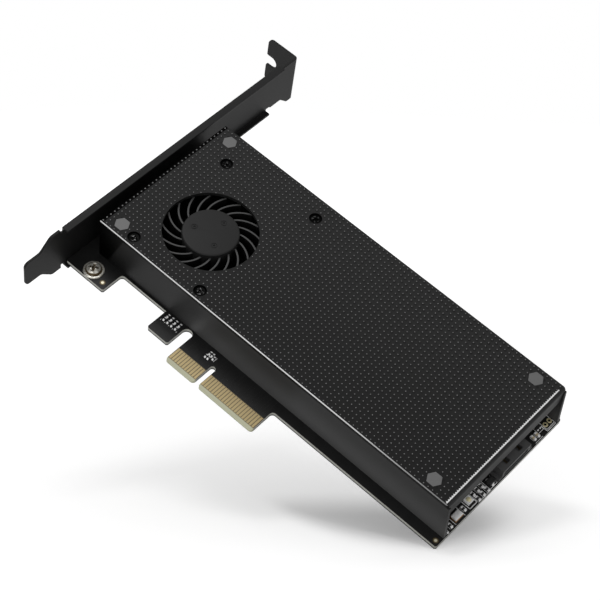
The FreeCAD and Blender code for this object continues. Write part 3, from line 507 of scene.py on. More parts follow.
# a painted shadow beside each dot, set off to one side
off_x, off_y = ((((value - start - aside) / DOT_PITCH + 0.5).calc("FRACT") - 0.5) * DOT_PITCH
                for value, start, aside in ((x, DOT_START[0], DOT_SHADOW_ASIDE),
                                            (y, DOT_START[1], -DOT_SHADOW_ASIDE)))
beside = (off_x * off_x + off_y * off_y).calc("SQRT")
patchy = step(cover_coat.noise(0.5), 0.26, 0.3) * step(z, 16.1, 0.05)
dot_shadow = (1.0 - step(beside, 0.26, 0.4)) * patchy
for share, shade_there in ((front_painted_shade, tone(12)), (floor_bounce_light, tone(68)), (wall, wall_light_and_shade),
                           (dot_shadow, SHADE_BLACK), (black, SHADE_BLACK)):
    cover_shade = mix(share, cover_shade, shade_there)
cover_coat.feed("Base Color", mix(bright, cover_shade, HIGHLIGHT_WHITE))
cover_coat.feed("Metallic", (bright * 0.4 + black).clamped())
to_piece(softened("cover", 0.1 * MM), "cover_sheet", cover_coat,
         replaces=["cover"], flat=True)
to_piece(softened("slot_bracket", 0.16 * MM), "bracket_sheet", bracket_coat,
         replaces=["slot_bracket"], flat=True)
print("nodes in the cover's finish:", len(cover_coat.tree.nodes))

# %% [markdown]
# ## Plain finishes
# Most small parts are one material all over. An even colour looks drawn, so one function gives
# each a colour that wanders by a tenth, a slightly uneven gloss and a faint relief. The pressed
# hexagons are dull steel, and their upper edge is painted dark as shade.

# %% Plain finishes for the rest
def plain(name, color, rough, metallic=0.0, gloss=0.5):
    """A finish with a little unevenness in colour and gloss."""
    finish = Finish(name, Metallic=metallic, Specular_IOR_Level=gloss)
    cloud, speck = finish.noise(0.4, 2.0), finish.noise(3.0, 3.0)
    low = tuple(c * 0.9 for c in color[:3]) + (1,)
    high = tuple(min(1.0, c * 1.1) for c in color[:3]) + (1,)
    finish.feed("Base Color", finish.mix(cloud * 0.5 + speck * 0.5, low, high))
    finish.feed("Roughness", speck * 0.12 + rough)
    finish.relief(speck, 0.1)
    return finish


steel = plain("nickel_steel", tone(190), 0.24, 1.0)
hexagon_steel = Finish("pressed_hexagon_steel", Metallic=0.9)
brushed = hexagon_steel.noise(3.0)
# painted shade on the hexagons' upper edge, above the sheet
raised_edge_shade = hexagon_steel.step(hexagon_steel.z, 16.1, 0.06)
hexagon_steel.feed("Base Color", hexagon_steel.mix(
    raised_edge_shade, tone(30), hexagon_steel.mix(brushed, tone(104), tone(118))))
hexagon_steel.feed("Roughness", brushed * 0.12 + 0.5)
fan_plastic = plain("fan_plastic", tone(6), 0.5, gloss=0.06)
rotor_steel = plain("rotor_steel", tone(120), 0.4, 1.0)
brass = plain("brass", tone(200, (1, 0.86, 0.55)), 0.3, 1.0)
driver_mask = plain("driver_board_mask", (0.01, 0.09, 0.04, 1), 0.3)
connector_plastic = plain("connector_plastic", tone(66), 0.5)
nylon = plain("nylon", tone(205, (1, 0.98, 0.92)), 0.45)
compound = plain("black_compound", tone(26), 0.42)
can = plain("crystal_can", tone(236), 0.3, 0.25)
lens = plain("light_lens", tone(232, (1, 0.96, 0.78)), 0.25)
ceramic = plain("chip_ceramic", tone(44), 0.35)
tin = plain("tinned", tone(244), 0.35, 0.12)
gold = plain("contact_gold", tone(176, (1, 0.9, 0.67)), 0.34, 0.8)
print_white = plain("print_white", tone(232), 0.6)
paint(steel, "fan_shaft")
for k in range(1, 5):
    to_piece(softened(f"cover_standoff_{k}", 0.2 * MM), f"cover_standoff_{k}_pressed",
             hexagon_steel, replaces=[f"cover_standoff_{k}"], flat=True)
paint(fan_plastic, "fan_housing")
paint(rotor_steel, "fan_rotor_cup", "fan_magnet_ring", "fan_stator")
paint(brass, "fan_bearing", "nvme_post", "sata_post")
paint(driver_mask, "fan_driver_board")
paint(connector_plastic, "nvme_socket", "sata_socket", "data_port")
paint(nylon, "fan_header")
paint(compound, "power_inductor", "power_regulator")
paint(can, "bulk_capacitors")
paint(gold, "edge_contacts_front", "edge_contacts_back", "nvme_socket_contacts",
      "sata_socket_contacts", "fan_header_pins")
# painted shade: the port's contacts are darker gold, so its windows read dark
paint(plain("port_contact_in_shade", tone(84, (1, 0.9, 0.67)), 0.4, 0.8), "data_port_contacts")
print("materials so far:", len(bpy.data.materials))

# %% [markdown]
# ## Dots on the cover
# The cover's top carries a square grid of small raised dots, some two and a half thousand of
# them. A bump in the shader would lose its edge in close views, so each dot is real: a low
# six-sided dome, cheap enough to repeat. Dots that would fall on an opening or on a fixing are
# left out.

# %% Dot grid
DOT_RADIUS = 0.25 * MM
DOT_RISE = 0.1 * MM
FAN_OPENING, HEXAGON, SCREW_SEAT = 14.66 * MM, 2.45 * MM, 2.0 * MM
cover_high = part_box("cover")[1]
fan_low, fan_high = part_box("fan_impeller")
fan_centre = (fan_low + fan_high) / 2
keep_clear = [(fan_centre.xy, FAN_OPENING)]
keep_clear += [(middle(f"cover_standoff_{k}").xy, HEXAGON) for k in range(1, 5)]
keep_clear += [(middle(f"fan_screw_{k}").xy, SCREW_SEAT) for k in range(1, 5)]
dots = bmesh.new()
columns = int((80.1 - DOT_START[0]) / DOT_PITCH)
rows = int((cover_high.y / MM - DOT_START[1]) / DOT_PITCH) + 1
for column in range(1, columns + 1):
    for row in range(rows + 1):
        spot = Vector((DOT_START[0] + column * DOT_PITCH, DOT_START[1] + row * DOT_PITCH)) * MM
        if spot.y > cover_high.y - 0.5 * MM:
            continue
        if any((spot - centre).length < radius + DOT_RADIUS for centre, radius in keep_clear):
            continue
        place = Matrix.Translation((spot.x, spot.y, cover_high.z))
        bmesh.ops.create_cone(dots, cap_ends=True, segments=6, radius1=DOT_RADIUS,
                              radius2=DOT_RADIUS * 0.5, depth=DOT_RISE, matrix=place)
dot_print = Finish("dot_print", Roughness=0.38)
dot_print.feed("Base Color", dot_print.mix(dot_print.noise(0.9), tone(66), tone(138)))
print("dots:", len(dots.verts) // 12)
to_piece(dots, "cover_dots", dot_print)

# %% [markdown]
# ## Brighter dots along two edges
# By the bracket one column of larger dots keeps the same pitch. At the tail bend the dots stand
# twice as close and their tops are painted almost white, part of the painted highlight along the
# bend. Both columns are one piece, and a step on the length tells the two shades apart.

# %% Edge dots
edge_dots = bmesh.new()
for count, along, pitch, radius in ((rows, -52.5, DOT_PITCH, 0.31),
                                    (2 * rows - 4, 80.42, DOT_PITCH / 2, 0.29)):
    for row in range(count):
        place = Matrix.Translation(Vector((along, DOT_START[1] + row * pitch, 16.2)) * MM)
        bmesh.ops.create_cone(edge_dots, cap_ends=True, segments=8, radius1=radius * MM,
                              radius2=0.18 * MM, depth=DOT_RISE, matrix=place)
edge_dots_and_highlight = Finish("edge_dot_print_and_highlight", Roughness=0.34)
# the tail column's near-white tops are a painted highlight
edge_dots_and_highlight.feed("Base Color", edge_dots_and_highlight.mix(
    edge_dots_and_highlight.step(edge_dots_and_highlight.x, 0.0, 1.0), tone(104), tone(225)))
to_piece(edge_dots, "cover_edge_dots", edge_dots_and_highlight)
print("edge dots:", 3 * rows - 4)

# %% [markdown]
# ## Screws
# Each screw is a half profile spun about its axis, with a cross recess cut into it. The cutter
# is two crossed bars that taper downwards, as a driver bit does. A boolean modifier makes the
# cut once per kind of screw, and the result is then copied to each place at some angle, because
# driven screws rarely line up.


# %% Turning and carving
def turned(profile, segments=40):
    """Spin a half profile of (radius, height) points in millimetres about Z."""
    bm = bmesh.new()
    chain = [bm.verts.new((radius * MM, 0, height * MM)) for radius, height in profile]
    edges = [bm.edges.new(pair) for pair in zip(chain, chain[1:])]
    bmesh.ops.spin(bm, geom=chain + edges, cent=(0, 0, 0), axis=(0, 0, 1),
                   angle=2 * math.pi, steps=segments, use_merge=True)
    bmesh.ops.remove_doubles(bm, verts=bm.verts, dist=0.001 * MM)
    bmesh.ops.recalc_face_normals(bm, faces=bm.faces)
    return bm


def carved(bm, *cutters):
    """The first shape with the others cut away, one after another."""
    for cutter in cutters:
        holders = []
        for shape in (bm, cutter):
            mesh = bpy.data.meshes.new("carving")
            shape.to_mesh(mesh)
            shape.free()
            holders.append(placed("carving", mesh))
        body, tool = holders
        trim = body.modifiers.new("cut", "BOOLEAN")
        trim.operation, trim.solver, trim.object = "DIFFERENCE", "EXACT", tool
        scene_now = bpy.context.evaluated_depsgraph_get()
        mesh = bpy.data.meshes.new_from_object(body.evaluated_get(scene_now))
        bm = bmesh.new()
        bm.from_mesh(mesh)
        bpy.data.meshes.remove(mesh)
        for holder in holders:
            data = holder.data
            bpy.data.objects.remove(holder)
            bpy.data.meshes.remove(data)
    return bm


def cross(reach, thick, top, bottom):
    """The two bars of a driver's cross, narrower below, in millimetres."""
    bars = []
    for turn in (0.0, math.pi / 2):
        bm = bmesh.new()
        bmesh.ops.create_cube(bm, size=1.0)
        bmesh.ops.scale(bm, verts=bm.verts, vec=(2 * reach * MM, thick * MM, (top - bottom) * MM))
        low = [v for v in bm.verts if v.co.z < 0]
        bmesh.ops.scale(bm, verts=low, vec=(0.45, 0.6, 1))
        bmesh.ops.translate(bm, verts=bm.verts, vec=(0, 0, (top + bottom) / 2 * MM))
        bmesh.ops.rotate(bm, verts=bm.verts, cent=(0, 0, 0),
                         matrix=Matrix.Rotation(turn, 3, "Z"))
        bars.append(bm)
    return bars


def thread(radius, depth, top, bottom, pitch):
    """The zigzag outline of a thread, from the top down, in millimetres."""
    outline = []
    turns = int((top - bottom) / pitch)
    for k in range(turns):
        outline += [(radius, top - (k + 0.15) * pitch), (radius - depth, top - (k + 0.65) * pitch)]
    return outline + [(radius - depth, bottom), (0, bottom)]


def add_copy(bm, mould, matrix):
    """Join a placed copy of one bmesh to another."""
    shape = bpy.data.meshes.new("copy")
    mould.to_mesh(shape)
    shape.transform(matrix)
    bm.from_mesh(shape)
    bpy.data.meshes.remove(shape)


def put_copy(mould, spots, name, finish, flip=False, turn=0.0, replaces=()):
    """Copies of one small shape at several places, as one piece."""
    bm = bmesh.new()
    for spot in spots:
        matrix = Matrix.Translation(spot) @ Matrix.Rotation(turn, 4, "Z")
        if flip:
            matrix = matrix @ Matrix.Rotation(math.pi, 4, "X")
        add_copy(bm, mould, matrix)
    to_piece(bm, name, finish, replaces=replaces)


def on_axis(node, height):
    """The point on a screw's axis at a height in metres."""
    spot = middle(node)
    return Vector((spot.x, spot.y, height))


# %% [markdown]
# ## Bracket screws
# Two flanged nickel screws hold the board to the bracket. The finish paints shade into the
# recess and the gutter round the head, and adds some blotches of dirt.

# %% Bracket screws
BRACKET_SCREWS = ("bracket_screw_lower", "bracket_screw_upper")
screw_steel = Finish("screw_nickel", Metallic=0.6)
axis_distance = screw_steel.nearest(*[(middle(node) / MM).xy for node in BRACKET_SCREWS])
# painted shade in the cross recess and in the gutter round the head; soil is dirt
sunk = (1.0 - screw_steel.step(screw_steel.z, 1.3, 0.25)) * (
    1.0 - screw_steel.step(axis_distance, 1.75, 0.1))
gutter_shade = screw_steel.band(axis_distance, 2.3, 2.55, 0.12)
soil = screw_steel.step(screw_steel.noise(1.3, 3.0), 0.42, 0.3) * 0.6
dirt_and_shade = (sunk * 0.8 + gutter_shade + soil).clamped()
screw_steel.feed("Base Color", screw_steel.mix(
    dirt_and_shade, tone(206, (1, 0.99, 0.95)), tone(88, (1, 0.84, 0.58))))
screw_steel.feed("Roughness", dirt_and_shade * 0.25 + 0.2)
flanged = turned([(0, 1.9), (1.2, 1.86), (1.9, 1.66), (2.3, 1.25), (2.42, 0.8), (2.45, 0.48),
                  (3.15, 0.46), (3.3, 0.3), (3.3, 0.0), (1.45, 0.0)]
                 + thread(1.45, 0.2, 0.0, -2.83, 0.5))
flanged = carved(flanged, *cross(1.9, 1.0, 2.2, 0.55))
for node in BRACKET_SCREWS:
    put_copy(flanged, [on_axis(node, 0)], f"{node}_turned", screw_steel,
             turn=0.55, replaces=[node])
print("two bracket screws turned")

# %% [markdown]
# ## Cover screws and fan screws
# Four pan heads hold the cover from the solder side, so their copies are flipped over. Four
# black flat heads hold the blower and sit a little below the sheet. Only their recesses, which
# a driver has rubbed, show some bare metal.

# %% Screws from the solder side
PAN_HEIGHT = 1.8
pan = turned([(0, PAN_HEIGHT), (1.1, 1.76), (1.9, 1.5), (2.5, 0.95), (2.72, 0.4), (2.75, 0.0),
              (1.45, 0.0)] + thread(1.45, 0.2, 0.0, -6.0, 0.5), 36)
pan = carved(pan, *cross(1.45, 0.55, 2.1, 0.5))
for number in range(1, 5):
    node = f"cover_screw_{number}"
    put_copy(pan, [on_axis(node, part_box(node)[0].z + PAN_HEIGHT * MM)], f"{node}_turned", steel,
             flip=True, turn=0.4 * number, replaces=[node])
print("four cover screws turned")

# %% Fan screws
SUNK = 0.22
black_screw = Finish("black_screw", Roughness=0.3, Metallic=1.0)
worn = black_screw.step(black_screw.noise(1.2), 0.5, 0.15) * (
    1.0 - black_screw.step(black_screw.nearest(*FAN_SCREWS), 1.15, 0.1))
black_screw.feed("Base Color", black_screw.mix(worn, tone(10), tone(92)))
flat_head = turned([(0, -0.05), (1.3, -0.05), (1.62, -0.02), (1.85, -0.14), (0.95, -0.9)]
                   + thread(0.95, 0.14, -0.9, -4.0, 0.4), 32)
flat_head = carved(flat_head, *cross(1.1, 0.42, 0.3, -0.75))
for number in range(1, 5):
    node = f"fan_screw_{number}"
    put_copy(flat_head, [on_axis(node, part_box(node)[1].z - SUNK * MM)], f"{node}_turned",
             black_screw, turn=0.3 * number, replaces=[node])
print("four fan screws turned, sunk by", SUNK, "mm")

# %% [markdown]
# ## Circuit board
# The board is glass cloth in epoxy under a black mask. Its routed edge shows the bare laminate
# as a pale grey line, painted dark as shade along its lower part. The tongue's lower end has no
# mask, so it is tan between the contacts. A copy of the CAD board gets drilled holes for plated
# rings and for the sockets' pegs.

# %% Small blocks and discs
PRINT_THICK = 0.02


def block(bm, centre, size, rounding=0.0, turn=0.0, segments=1):
    """A box with softened edges, in millimetres."""
    verts = bmesh.ops.create_cube(bm, size=1.0)["verts"]
    bmesh.ops.scale(bm, verts=verts, vec=Vector(size) * MM)
    bmesh.ops.rotate(bm, verts=verts, cent=(0, 0, 0), matrix=Matrix.Rotation(turn, 3, "Z"))
    bmesh.ops.translate(bm, verts=verts, vec=Vector(centre) * MM)
    if rounding:
        edges = list({edge for vert in verts for edge in vert.link_edges})
        bmesh.ops.bevel(bm, geom=edges, offset=rounding * MM, offset_type="OFFSET",
                        affect="EDGES", segments=segments, profile=0.5, material=-1)


def disc(bm, centre, radius, height, sides=20, upper=None):
    """A round slab about its centre, in millimetres; it tapers when upper is given."""
    bmesh.ops.create_cone(bm, cap_ends=True, segments=sides, radius1=radius * MM,
                          radius2=(radius if upper is None else upper) * MM,
                          depth=height * MM, matrix=Matrix.Translation(Vector(centre) * MM))


def track(bm, points, width, z):
    """A flat line of print or copper along straight runs, in millimetres."""
    for (x0, y0), (x1, y1) in zip(points, points[1:]):
        run = math.hypot(x1 - x0, y1 - y0)
        block(bm, ((x0 + x1) / 2, (y0 + y1) / 2, z), (run + width * 0.8, width, PRINT_THICK),
              turn=math.atan2(y1 - y0, x1 - x0))


def frame_line(bm, low, high, width, z):
    """A rectangle of print."""
    (x0, y0), (x1, y1) = low, high
    track(bm, [(x0, y0), (x1, y0), (x1, y1), (x0, y1), (x0, y0)], width, z)


# %% Board with its holes
board_low, board_high = box_mm("circuit_board")[:2]
RINGS = [(81.5, 63.7), (81.5, 65.7)]
nvme_low, nvme_high = box_mm("nvme_socket")[:2]
sata_low, sata_high = box_mm("sata_socket")[:2]
PEGS = [((low.x + high.x) / 2, y) for low, high in ((nvme_low, nvme_high), (sata_low, sata_high))
        for y in (low.y + 1.6, high.y - 1.6)]
drills = bmesh.new()
for x, y in RINGS:
    disc(drills, (x, y, -0.8), 0.44, 3.0)
for x, y in PEGS:
    disc(drills, (x, y, -1.8), 0.75, 2.4)
laminate = carved(softened("circuit_board", 0.05 * MM), drills)
mask = Finish("board_mask", Specular_IOR_Level=0.3)
face = (mask.step(mask.z, -0.05, 0.03) + 1.0 - mask.step(mask.z, -1.54, 0.03)).clamped()
along_tongue = mask.band(mask.x, -12.6, 22.6, 0.02)
tongue = (1.0 - mask.step(mask.y, 5.75, 0.05)) * along_tongue
weave = mask.noise(1.5)
cut_edge = mask.mix(weave, tone(140, (1.0, 1.0, 0.96)), tone(184, (1.0, 1.0, 0.95)))
# painted shade on the lower part of the routed edge
cut_edge = mask.mix(mask.step(mask.z, -1.15, 0.4), tone(44), cut_edge)
bare = mask.mix(weave, tone(92, (1, 0.88, 0.66)), tone(124, (1, 0.9, 0.7)))
cloud = mask.noise(0.25, 2.0)
tongue_bevel = (1.0 - mask.step(mask.y, 1.3, 0.1)) * along_tongue
cut_edge = mask.mix(tongue_bevel, cut_edge, tone(186, (1.0, 1.0, 0.86)))
lower = mask.mix(tongue, mask.mix(cloud, tone(17), tone(27)), bare)
mask.feed("Base Color", mask.mix(face, cut_edge, lower))
mask.feed("Roughness", mask.noise(2.0) * 0.15 + 0.3)
mask.relief(mask.noise(3.0, 4.0), 0.1)
to_piece(laminate, "board_laminate", mask, replaces=["circuit_board"], flat=True)
print("board drilled at", len(RINGS) + len(PEGS), "places")

# %% [markdown]
# ## Tracks
# Tracks lie under the mask as faint raised lines. They run from the contacts to the coupling
# capacitors and the sockets, mostly on the side that faces away. A picture of them would blur
# in close views, so each run is a thin block.

# %% Tracks
mask_over_copper = plain("mask_over_copper", tone(25), 0.32, gloss=0.3)
tracks = bmesh.new()
FRONT, BACK = 0.01, board_low.z - 0.01
CONTACTS = [-1.5 - k for k in range(11)] + [1.5 + k for k in range(21)]
via_spots = []
for number, x in enumerate(CONTACTS):
    bend = 6.6 + 0.35 * (number % 3)
    lean = 0.4 if number % 4 < 2 else -0.4
    if number % 5 == 0:
        track(tracks, [(x, 5.5), (x, 7.4)], 0.4, FRONT)
        via_spots.append((x, 7.6, FRONT))
    else:
        track(tracks, [(x, 5.5), (x, bend), (x + lean, bend + 0.5), (x + lean, 12.9)], 0.22, FRONT)
    if number % 4 == 3:
        track(tracks, [(x, 5.5), (x, 8.2)], 0.5, BACK)
        via_spots.append((x, 8.4, BACK))
    else:
        goal = nvme_low.x + 1.0 + (number % 16) * 0.55
        rise = 12.0 + 0.9 * (number % 16)
        crossed = rise + abs(goal - x) * 0.45
        track(tracks, [(x, 5.5), (x, rise), (x + (goal - x) * 0.8, crossed),
                       (goal, crossed + 3.0)], 0.24, BACK)
        via_spots.append((goal, crossed + 3.2, BACK))
PORT_Y = middle("data_port").y / MM
PORT_PINS = [PORT_Y - 3.8 + 1.27 * number for number in range(7)]
for number, y in enumerate(PORT_PINS):
    track(tracks, [(76.5, y), (60.0 + 2 * number, y), (54.0 + 2 * number, y - 6.0),
                   (8.0, y - 6.0)], 0.28, BACK)
    via_spots += [(76.7, y, BACK), (7.8, y - 6.0, BACK)]
to_piece(tracks, "board_tracks", mask_over_copper)
print("tracks end in", len(via_spots), "vias")

# %% [markdown]
# ## Vias, pads and rings
# A via is a tiny plated hole that takes a track through the board. Vias are masked like tracks,
# while rings and test pads are bare gold. There are about two hundred vias, so one turned mould
# is copied to every place.

# %% Vias, pads and plated rings
chance = random.Random(7)
for k in range(44):
    x = board_low.x + 2.0 + k * (board_high.x - board_low.x - 4.0) / 43
    via_spots.append((x, board_high.y - 1.0, BACK))
    if abs(x - 5) > 18 and x > -48:
        via_spots.append((x, 14.2, BACK))
for k in range(70):
    via_spots.append((chance.uniform(14, 70), chance.uniform(16, 64), BACK))
via = turned([(0.13, 0.0), (0.13, 0.02), (0.3, 0.02), (0.3, -0.01), (0.13, -0.01), (0.13, 0.0)], 10)
put_copy(via, [Vector(spot) * MM for spot in via_spots], "board_vias", mask_over_copper)
pads = bmesh.new()
FIDUCIALS = [(-44.4, 6.0), (82.4, 11.0)]
targets = bmesh.new()
for x, y in FIDUCIALS:
    disc(targets, (x, y, FRONT), 0.88, 0.04, 28)
target_gold = Finish("target_gold", Metallic=0.5, Roughness=0.3)
target_gold.feed("Base Color", target_gold.mix(
    target_gold.step(target_gold.nearest(*FIDUCIALS), 0.3, 0.35),
    tone(236, (1, 0.97, 0.86)), tone(96, (1, 0.86, 0.56))))
to_piece(targets, "board_fiducials", target_gold)
for k in range(6):
    disc(pads, (30.0 + 5 * k, 20.5, BACK), 0.6, 0.04)
ring = turned([(0.4, 0.0), (0.4, 0.04), (0.52, 0.06), (0.72, 0.06), (0.85, 0.0), (0.4, -0.02),
               (0.4, 0.0)], 28)
barrel = turned([(0.4, -1.57), (0.4, -0.02), (0.43, -0.02), (0.43, -1.57), (0.4, -1.57)], 28)
collar = turned([(2.85, 0.0), (2.85, 0.03), (3.4, 0.03), (3.4, -0.01), (2.85, -0.01),
                 (2.85, 0.0)], 40)
plated = bmesh.new()
for x, y in RINGS:
    add_copy(plated, ring, Matrix.Translation(Vector((x, y, 0.0)) * MM))
    add_copy(plated, ring, Matrix.Translation(Vector((x, y, board_low.z)) * MM)
             @ Matrix.Rotation(math.pi, 4, "X"))
to_piece(plated, "plated_rings", plain("ring_plating", tone(222, (1, 0.95, 0.76)), 0.35, 0.5))
for number in range(1, 5):
    spot = on_axis(f"cover_screw_{number}", (board_low.z - 0.02) * MM)
    add_copy(pads, collar, Matrix.Translation(spot))
to_piece(pads, "board_pads", gold)
put_copy(barrel, [Vector((x, y, 0)) * MM for x, y in RINGS], "ring_barrels",
         plain("shaded_plating", tone(14, (1, 0.8, 0.5)), 0.5, gloss=0.02))
print("vias:", len(via_spots))

# %% [markdown]
# ## Solder and pegs
# Solder climbs each pin in a small cone, so a tapered disc is enough for a joint. The sockets'
# plastic pegs show as plain ends in their holes.

# %% Joints and pegs on the solder side
joints = bmesh.new()
for spot in solids_in("fan_header_pins"):
    x, y = ((spot[0] + spot[1]) / 2 / MM).xy
    disc(joints, (x, y, board_low.z - 0.3), 0.32, 0.6, 16, 0.85)
for y in PORT_PINS:
    disc(joints, (77.6, y, board_low.z - 0.22), 0.26, 0.44, 16, 0.55)
for y in (PORT_Y - 6.6, PORT_Y + 6.6):
    disc(joints, (79.2, y, board_low.z - 0.25), 0.5, 0.5, 20, 1.0)
to_piece(joints, "solder_joints", tin)
pegs = bmesh.new()
for x, y in PEGS:
    disc(pegs, (x, y, -0.9), 0.7, 1.1)
to_piece(pegs, "socket_pegs", connector_plastic)
print("pegs:", len(PEGS))

# %% [markdown]
# ## White print
# Print on a board is a film of ink. Here it is frames and ticks without letters, made of the
# same thin blocks as the tracks.

# %% White print
marks = bmesh.new()
frame_line(marks, (79.6, 62.35), (83.35, 66.45), 0.2, FRONT)
track(marks, [(79.6, 62.75), (82.9, 62.75), (82.9, 66.45)], 0.2, FRONT)
track(marks, [(79.6, 19.0), (83.3, 19.0)], 0.2, FRONT)
track(marks, [(79.6, 23.2), (83.3, 23.2)], 0.2, FRONT)
frame_line(marks, (79.6, 25.7), (83.1, 28.9), 0.22, FRONT)
frame_line(marks, (79.5, 29.2), (83.5, 34.9), 0.15, FRONT)
track(marks, [(80.2, 38.2), (83.3, 38.2), (83.3, 35.1)], 0.15, FRONT)
frame_line(marks, (79.4, 59.8), (82.0, 62.2), 0.15, FRONT)
track(marks, [(83.4, 56.6), (83.4, 60.0)], 0.15, FRONT)
for low, high in solids_in("tail_resistors"):
    for y in (low.y / MM - 0.24, high.y / MM + 0.24):
        track(marks, [(low.x / MM, y), (high.x / MM, y)], 0.12, FRONT)
for k in range(5):
    track(marks, [(-22.9 + 1.6 * k, 8.95), (-22.9 + 1.6 * k, 9.25)], 0.14, FRONT)
track(marks, [(-5.0, 8.5), (-5.0, 9.9)], 0.14, FRONT)
track(marks, [(-1.6, 9.4), (-1.6, 11.0)], 0.14, FRONT)
for low, high in ((nvme_low, nvme_high), (sata_low, sata_high)):
    frame_line(marks, (low.x - 1.2, low.y - 0.6), (high.x + 1.2, high.y + 0.6), 0.16, BACK)
    track(marks, [(high.x + 2.6, low.y), (high.x + 2.6, high.y)], 0.3, BACK)
for name in ("nvme_post", "sata_post"):
    spot = middle(name) / MM
    for k in range(4):
        reach = (spot.x - 20 * k, spot.y)
        track(marks, [(reach[0] - 3.4, reach[1]), (reach[0] - 2.4, reach[1])], 0.25, BACK)
        track(marks, [(reach[0] + 2.4, reach[1]), (reach[0] + 3.4, reach[1])], 0.25, BACK)
frame_line(marks, (28.0, 18.6), (57.5, 22.4), 0.16, BACK)
to_piece(marks, "board_print", print_white)
print("print has", len(bpy.data.meshes["board_print"].polygons), "faces")

# %% [markdown]
# ## Small parts at the tail
# Chips this size are a fired ceramic body with a tinned cap at each end and a little solder at
# its foot. The CAD holds each one as a plain block, so its box says where the new one goes and
# which way it lies.


# %% Chips
def chips(node, ceramic_finish):
    """Swap each plain block of a node for a body with two tinned ends."""
    bodies, ends = bmesh.new(), bmesh.new()
    for low, high in solids_in(node):
        centre, size = (low + high) / 2 / MM, (high - low) / MM
        along = 0 if size.x > size.y else 1
        core = size.copy()
        core[along] *= 0.62
        core.z -= 0.03
        block(bodies, (centre.x, centre.y, centre.z - 0.015), core, 0.03)
        for side in (-1, 1):
            cap, place = size.copy(), centre.copy()
            cap[along] *= 0.3
            place[along] += side * (size[along] - cap[along]) / 2
            block(ends, place, cap, 0.05)
            foot, place = size.copy(), centre.copy()
            foot[along], foot.z = 0.34, size.z * 0.5
            place[along] += side * (size[along] / 2 + 0.06)
            place.z = low.z / MM + foot.z / 2
            block(ends, place, foot, 0.05)
    to_piece(bodies, f"{node}_bodies", ceramic_finish, replaces=[node])
    to_piece(ends, f"{node}_ends", tin)
    print(node, "chips dressed")


tail_ceramic = Finish("tail_ceramic", Roughness=0.35)
cloud = tail_ceramic.noise(2.0)
tail_ceramic.feed("Base Color", tail_ceramic.mix(
    tail_ceramic.step(tail_ceramic.y, 55.0, 0.5), tail_ceramic.mix(cloud, tone(38), tone(54)),
    tail_ceramic.mix(cloud, tone(186, (1, 0.93, 0.78)), tone(208, (1, 0.93, 0.8)))))
chips("tail_resistors", tail_ceramic)
chips("coupling_capacitors", ceramic)
chips("strap_resistors", ceramic)

# %% [markdown]
# ## Crystal, light, diode and regulator
# The crystal is a metal lid on a thin rim, the light a pale dome in a white housing, and the
# other two are moulded blocks with bent tin legs. Blocks with rounded edges suit such shapes.

# %% Crystal and light
low, high, centre, size = box_mm("clock_crystal")
base = bmesh.new()
block(base, (centre.x, centre.y, low.z + 0.18), (size.x, size.y, 0.36), 0.05)
to_piece(base, "crystal_base", plain("crystal_rim", tone(170, (1, 0.78, 0.55)), 0.3, 0.9),
         replaces=["clock_crystal"])
lid = bmesh.new()
block(lid, (centre.x, centre.y, (low.z + 0.34 + high.z) / 2),
      (size.x - 0.3, size.y - 0.3, high.z - low.z - 0.34), 0.18, segments=3)
to_piece(lid, "crystal_lid", can)
low, high, centre, size = box_mm("status_light")
housing = bmesh.new()
block(housing, (centre.x, centre.y, (low.z + high.z - 0.25) / 2),
      (size.x, size.y, high.z - low.z - 0.25), 0.08)
to_piece(housing, "light_housing", print_white, replaces=["status_light"])
dome = turned([(0, 0.25), (0.35, 0.23), (0.62, 0.14), (0.8, 0.0), (0.8, -0.1), (0, -0.1)], 28)
put_copy(dome, [Vector((centre.x, centre.y, high.z - 0.25)) * MM], "light_dome", lens)
print("crystal and light made")


# %% Parts with legs
def legged(node, name, legs):
    """A moulded body with bent tin legs on its two long sides."""
    low, high, centre, size = box_mm(node)
    shell, feet = bmesh.new(), bmesh.new()
    block(shell, (centre.x, centre.y, low.z + 0.1 + (size.z - 0.1) / 2),
          (size.x * 0.72, size.y, size.z - 0.1), 0.1)
    for side, count in zip((-1, 1), legs):
        width = min(0.9, 0.5 * size.y / count)
        x = centre.x + side * size.x * 0.41
        for k in range(count):
            y = centre.y + (k - (count - 1) / 2) * size.y / max(2, count)
            block(feet, (x, y, low.z + 0.07), (size.x * 0.3, width, 0.14), 0.03)
            block(feet, (x - side * size.x * 0.03, y, low.z + size.z * 0.25),
                  (size.x * 0.1, width, size.z * 0.5), 0.03)
    to_piece(shell, f"{name}_body", compound, replaces=[node])
    to_piece(feet, f"{name}_legs", tin)


legged("port_diode", "diode", (1, 1))
legged("port_regulator", "regulator", (3, 2))
print("small parts dressed")

# %% [markdown]
# ## Blades
# The wheel is moulded in one piece: a hub like an upturned cup and nineteen thin blades that
# sweep back. One blade starts as a line of points along its curve, is pulled up to its height
# and given a thickness, and the spin operator copies it round the hub.

# %% Blades
BLADES = 19
HUB_RADIUS = 8.77
BLADE_TIP = 15.3
BLADE_PHASE, BLADE_SWEEP = 13.0, 30.0
hub_low, hub_high = fan_low.z / MM, fan_high.z / MM
blade_low, blade_high = hub_low + 0.1, 14.5


def blade_point(share):
    angle = math.radians(BLADE_PHASE - BLADE_SWEEP * share ** 1.1)
    reach = HUB_RADIUS - 0.3 + (BLADE_TIP - HUB_RADIUS + 0.3) * share
    return (reach * math.cos(angle) * MM, reach * math.sin(angle) * MM, blade_low * MM)


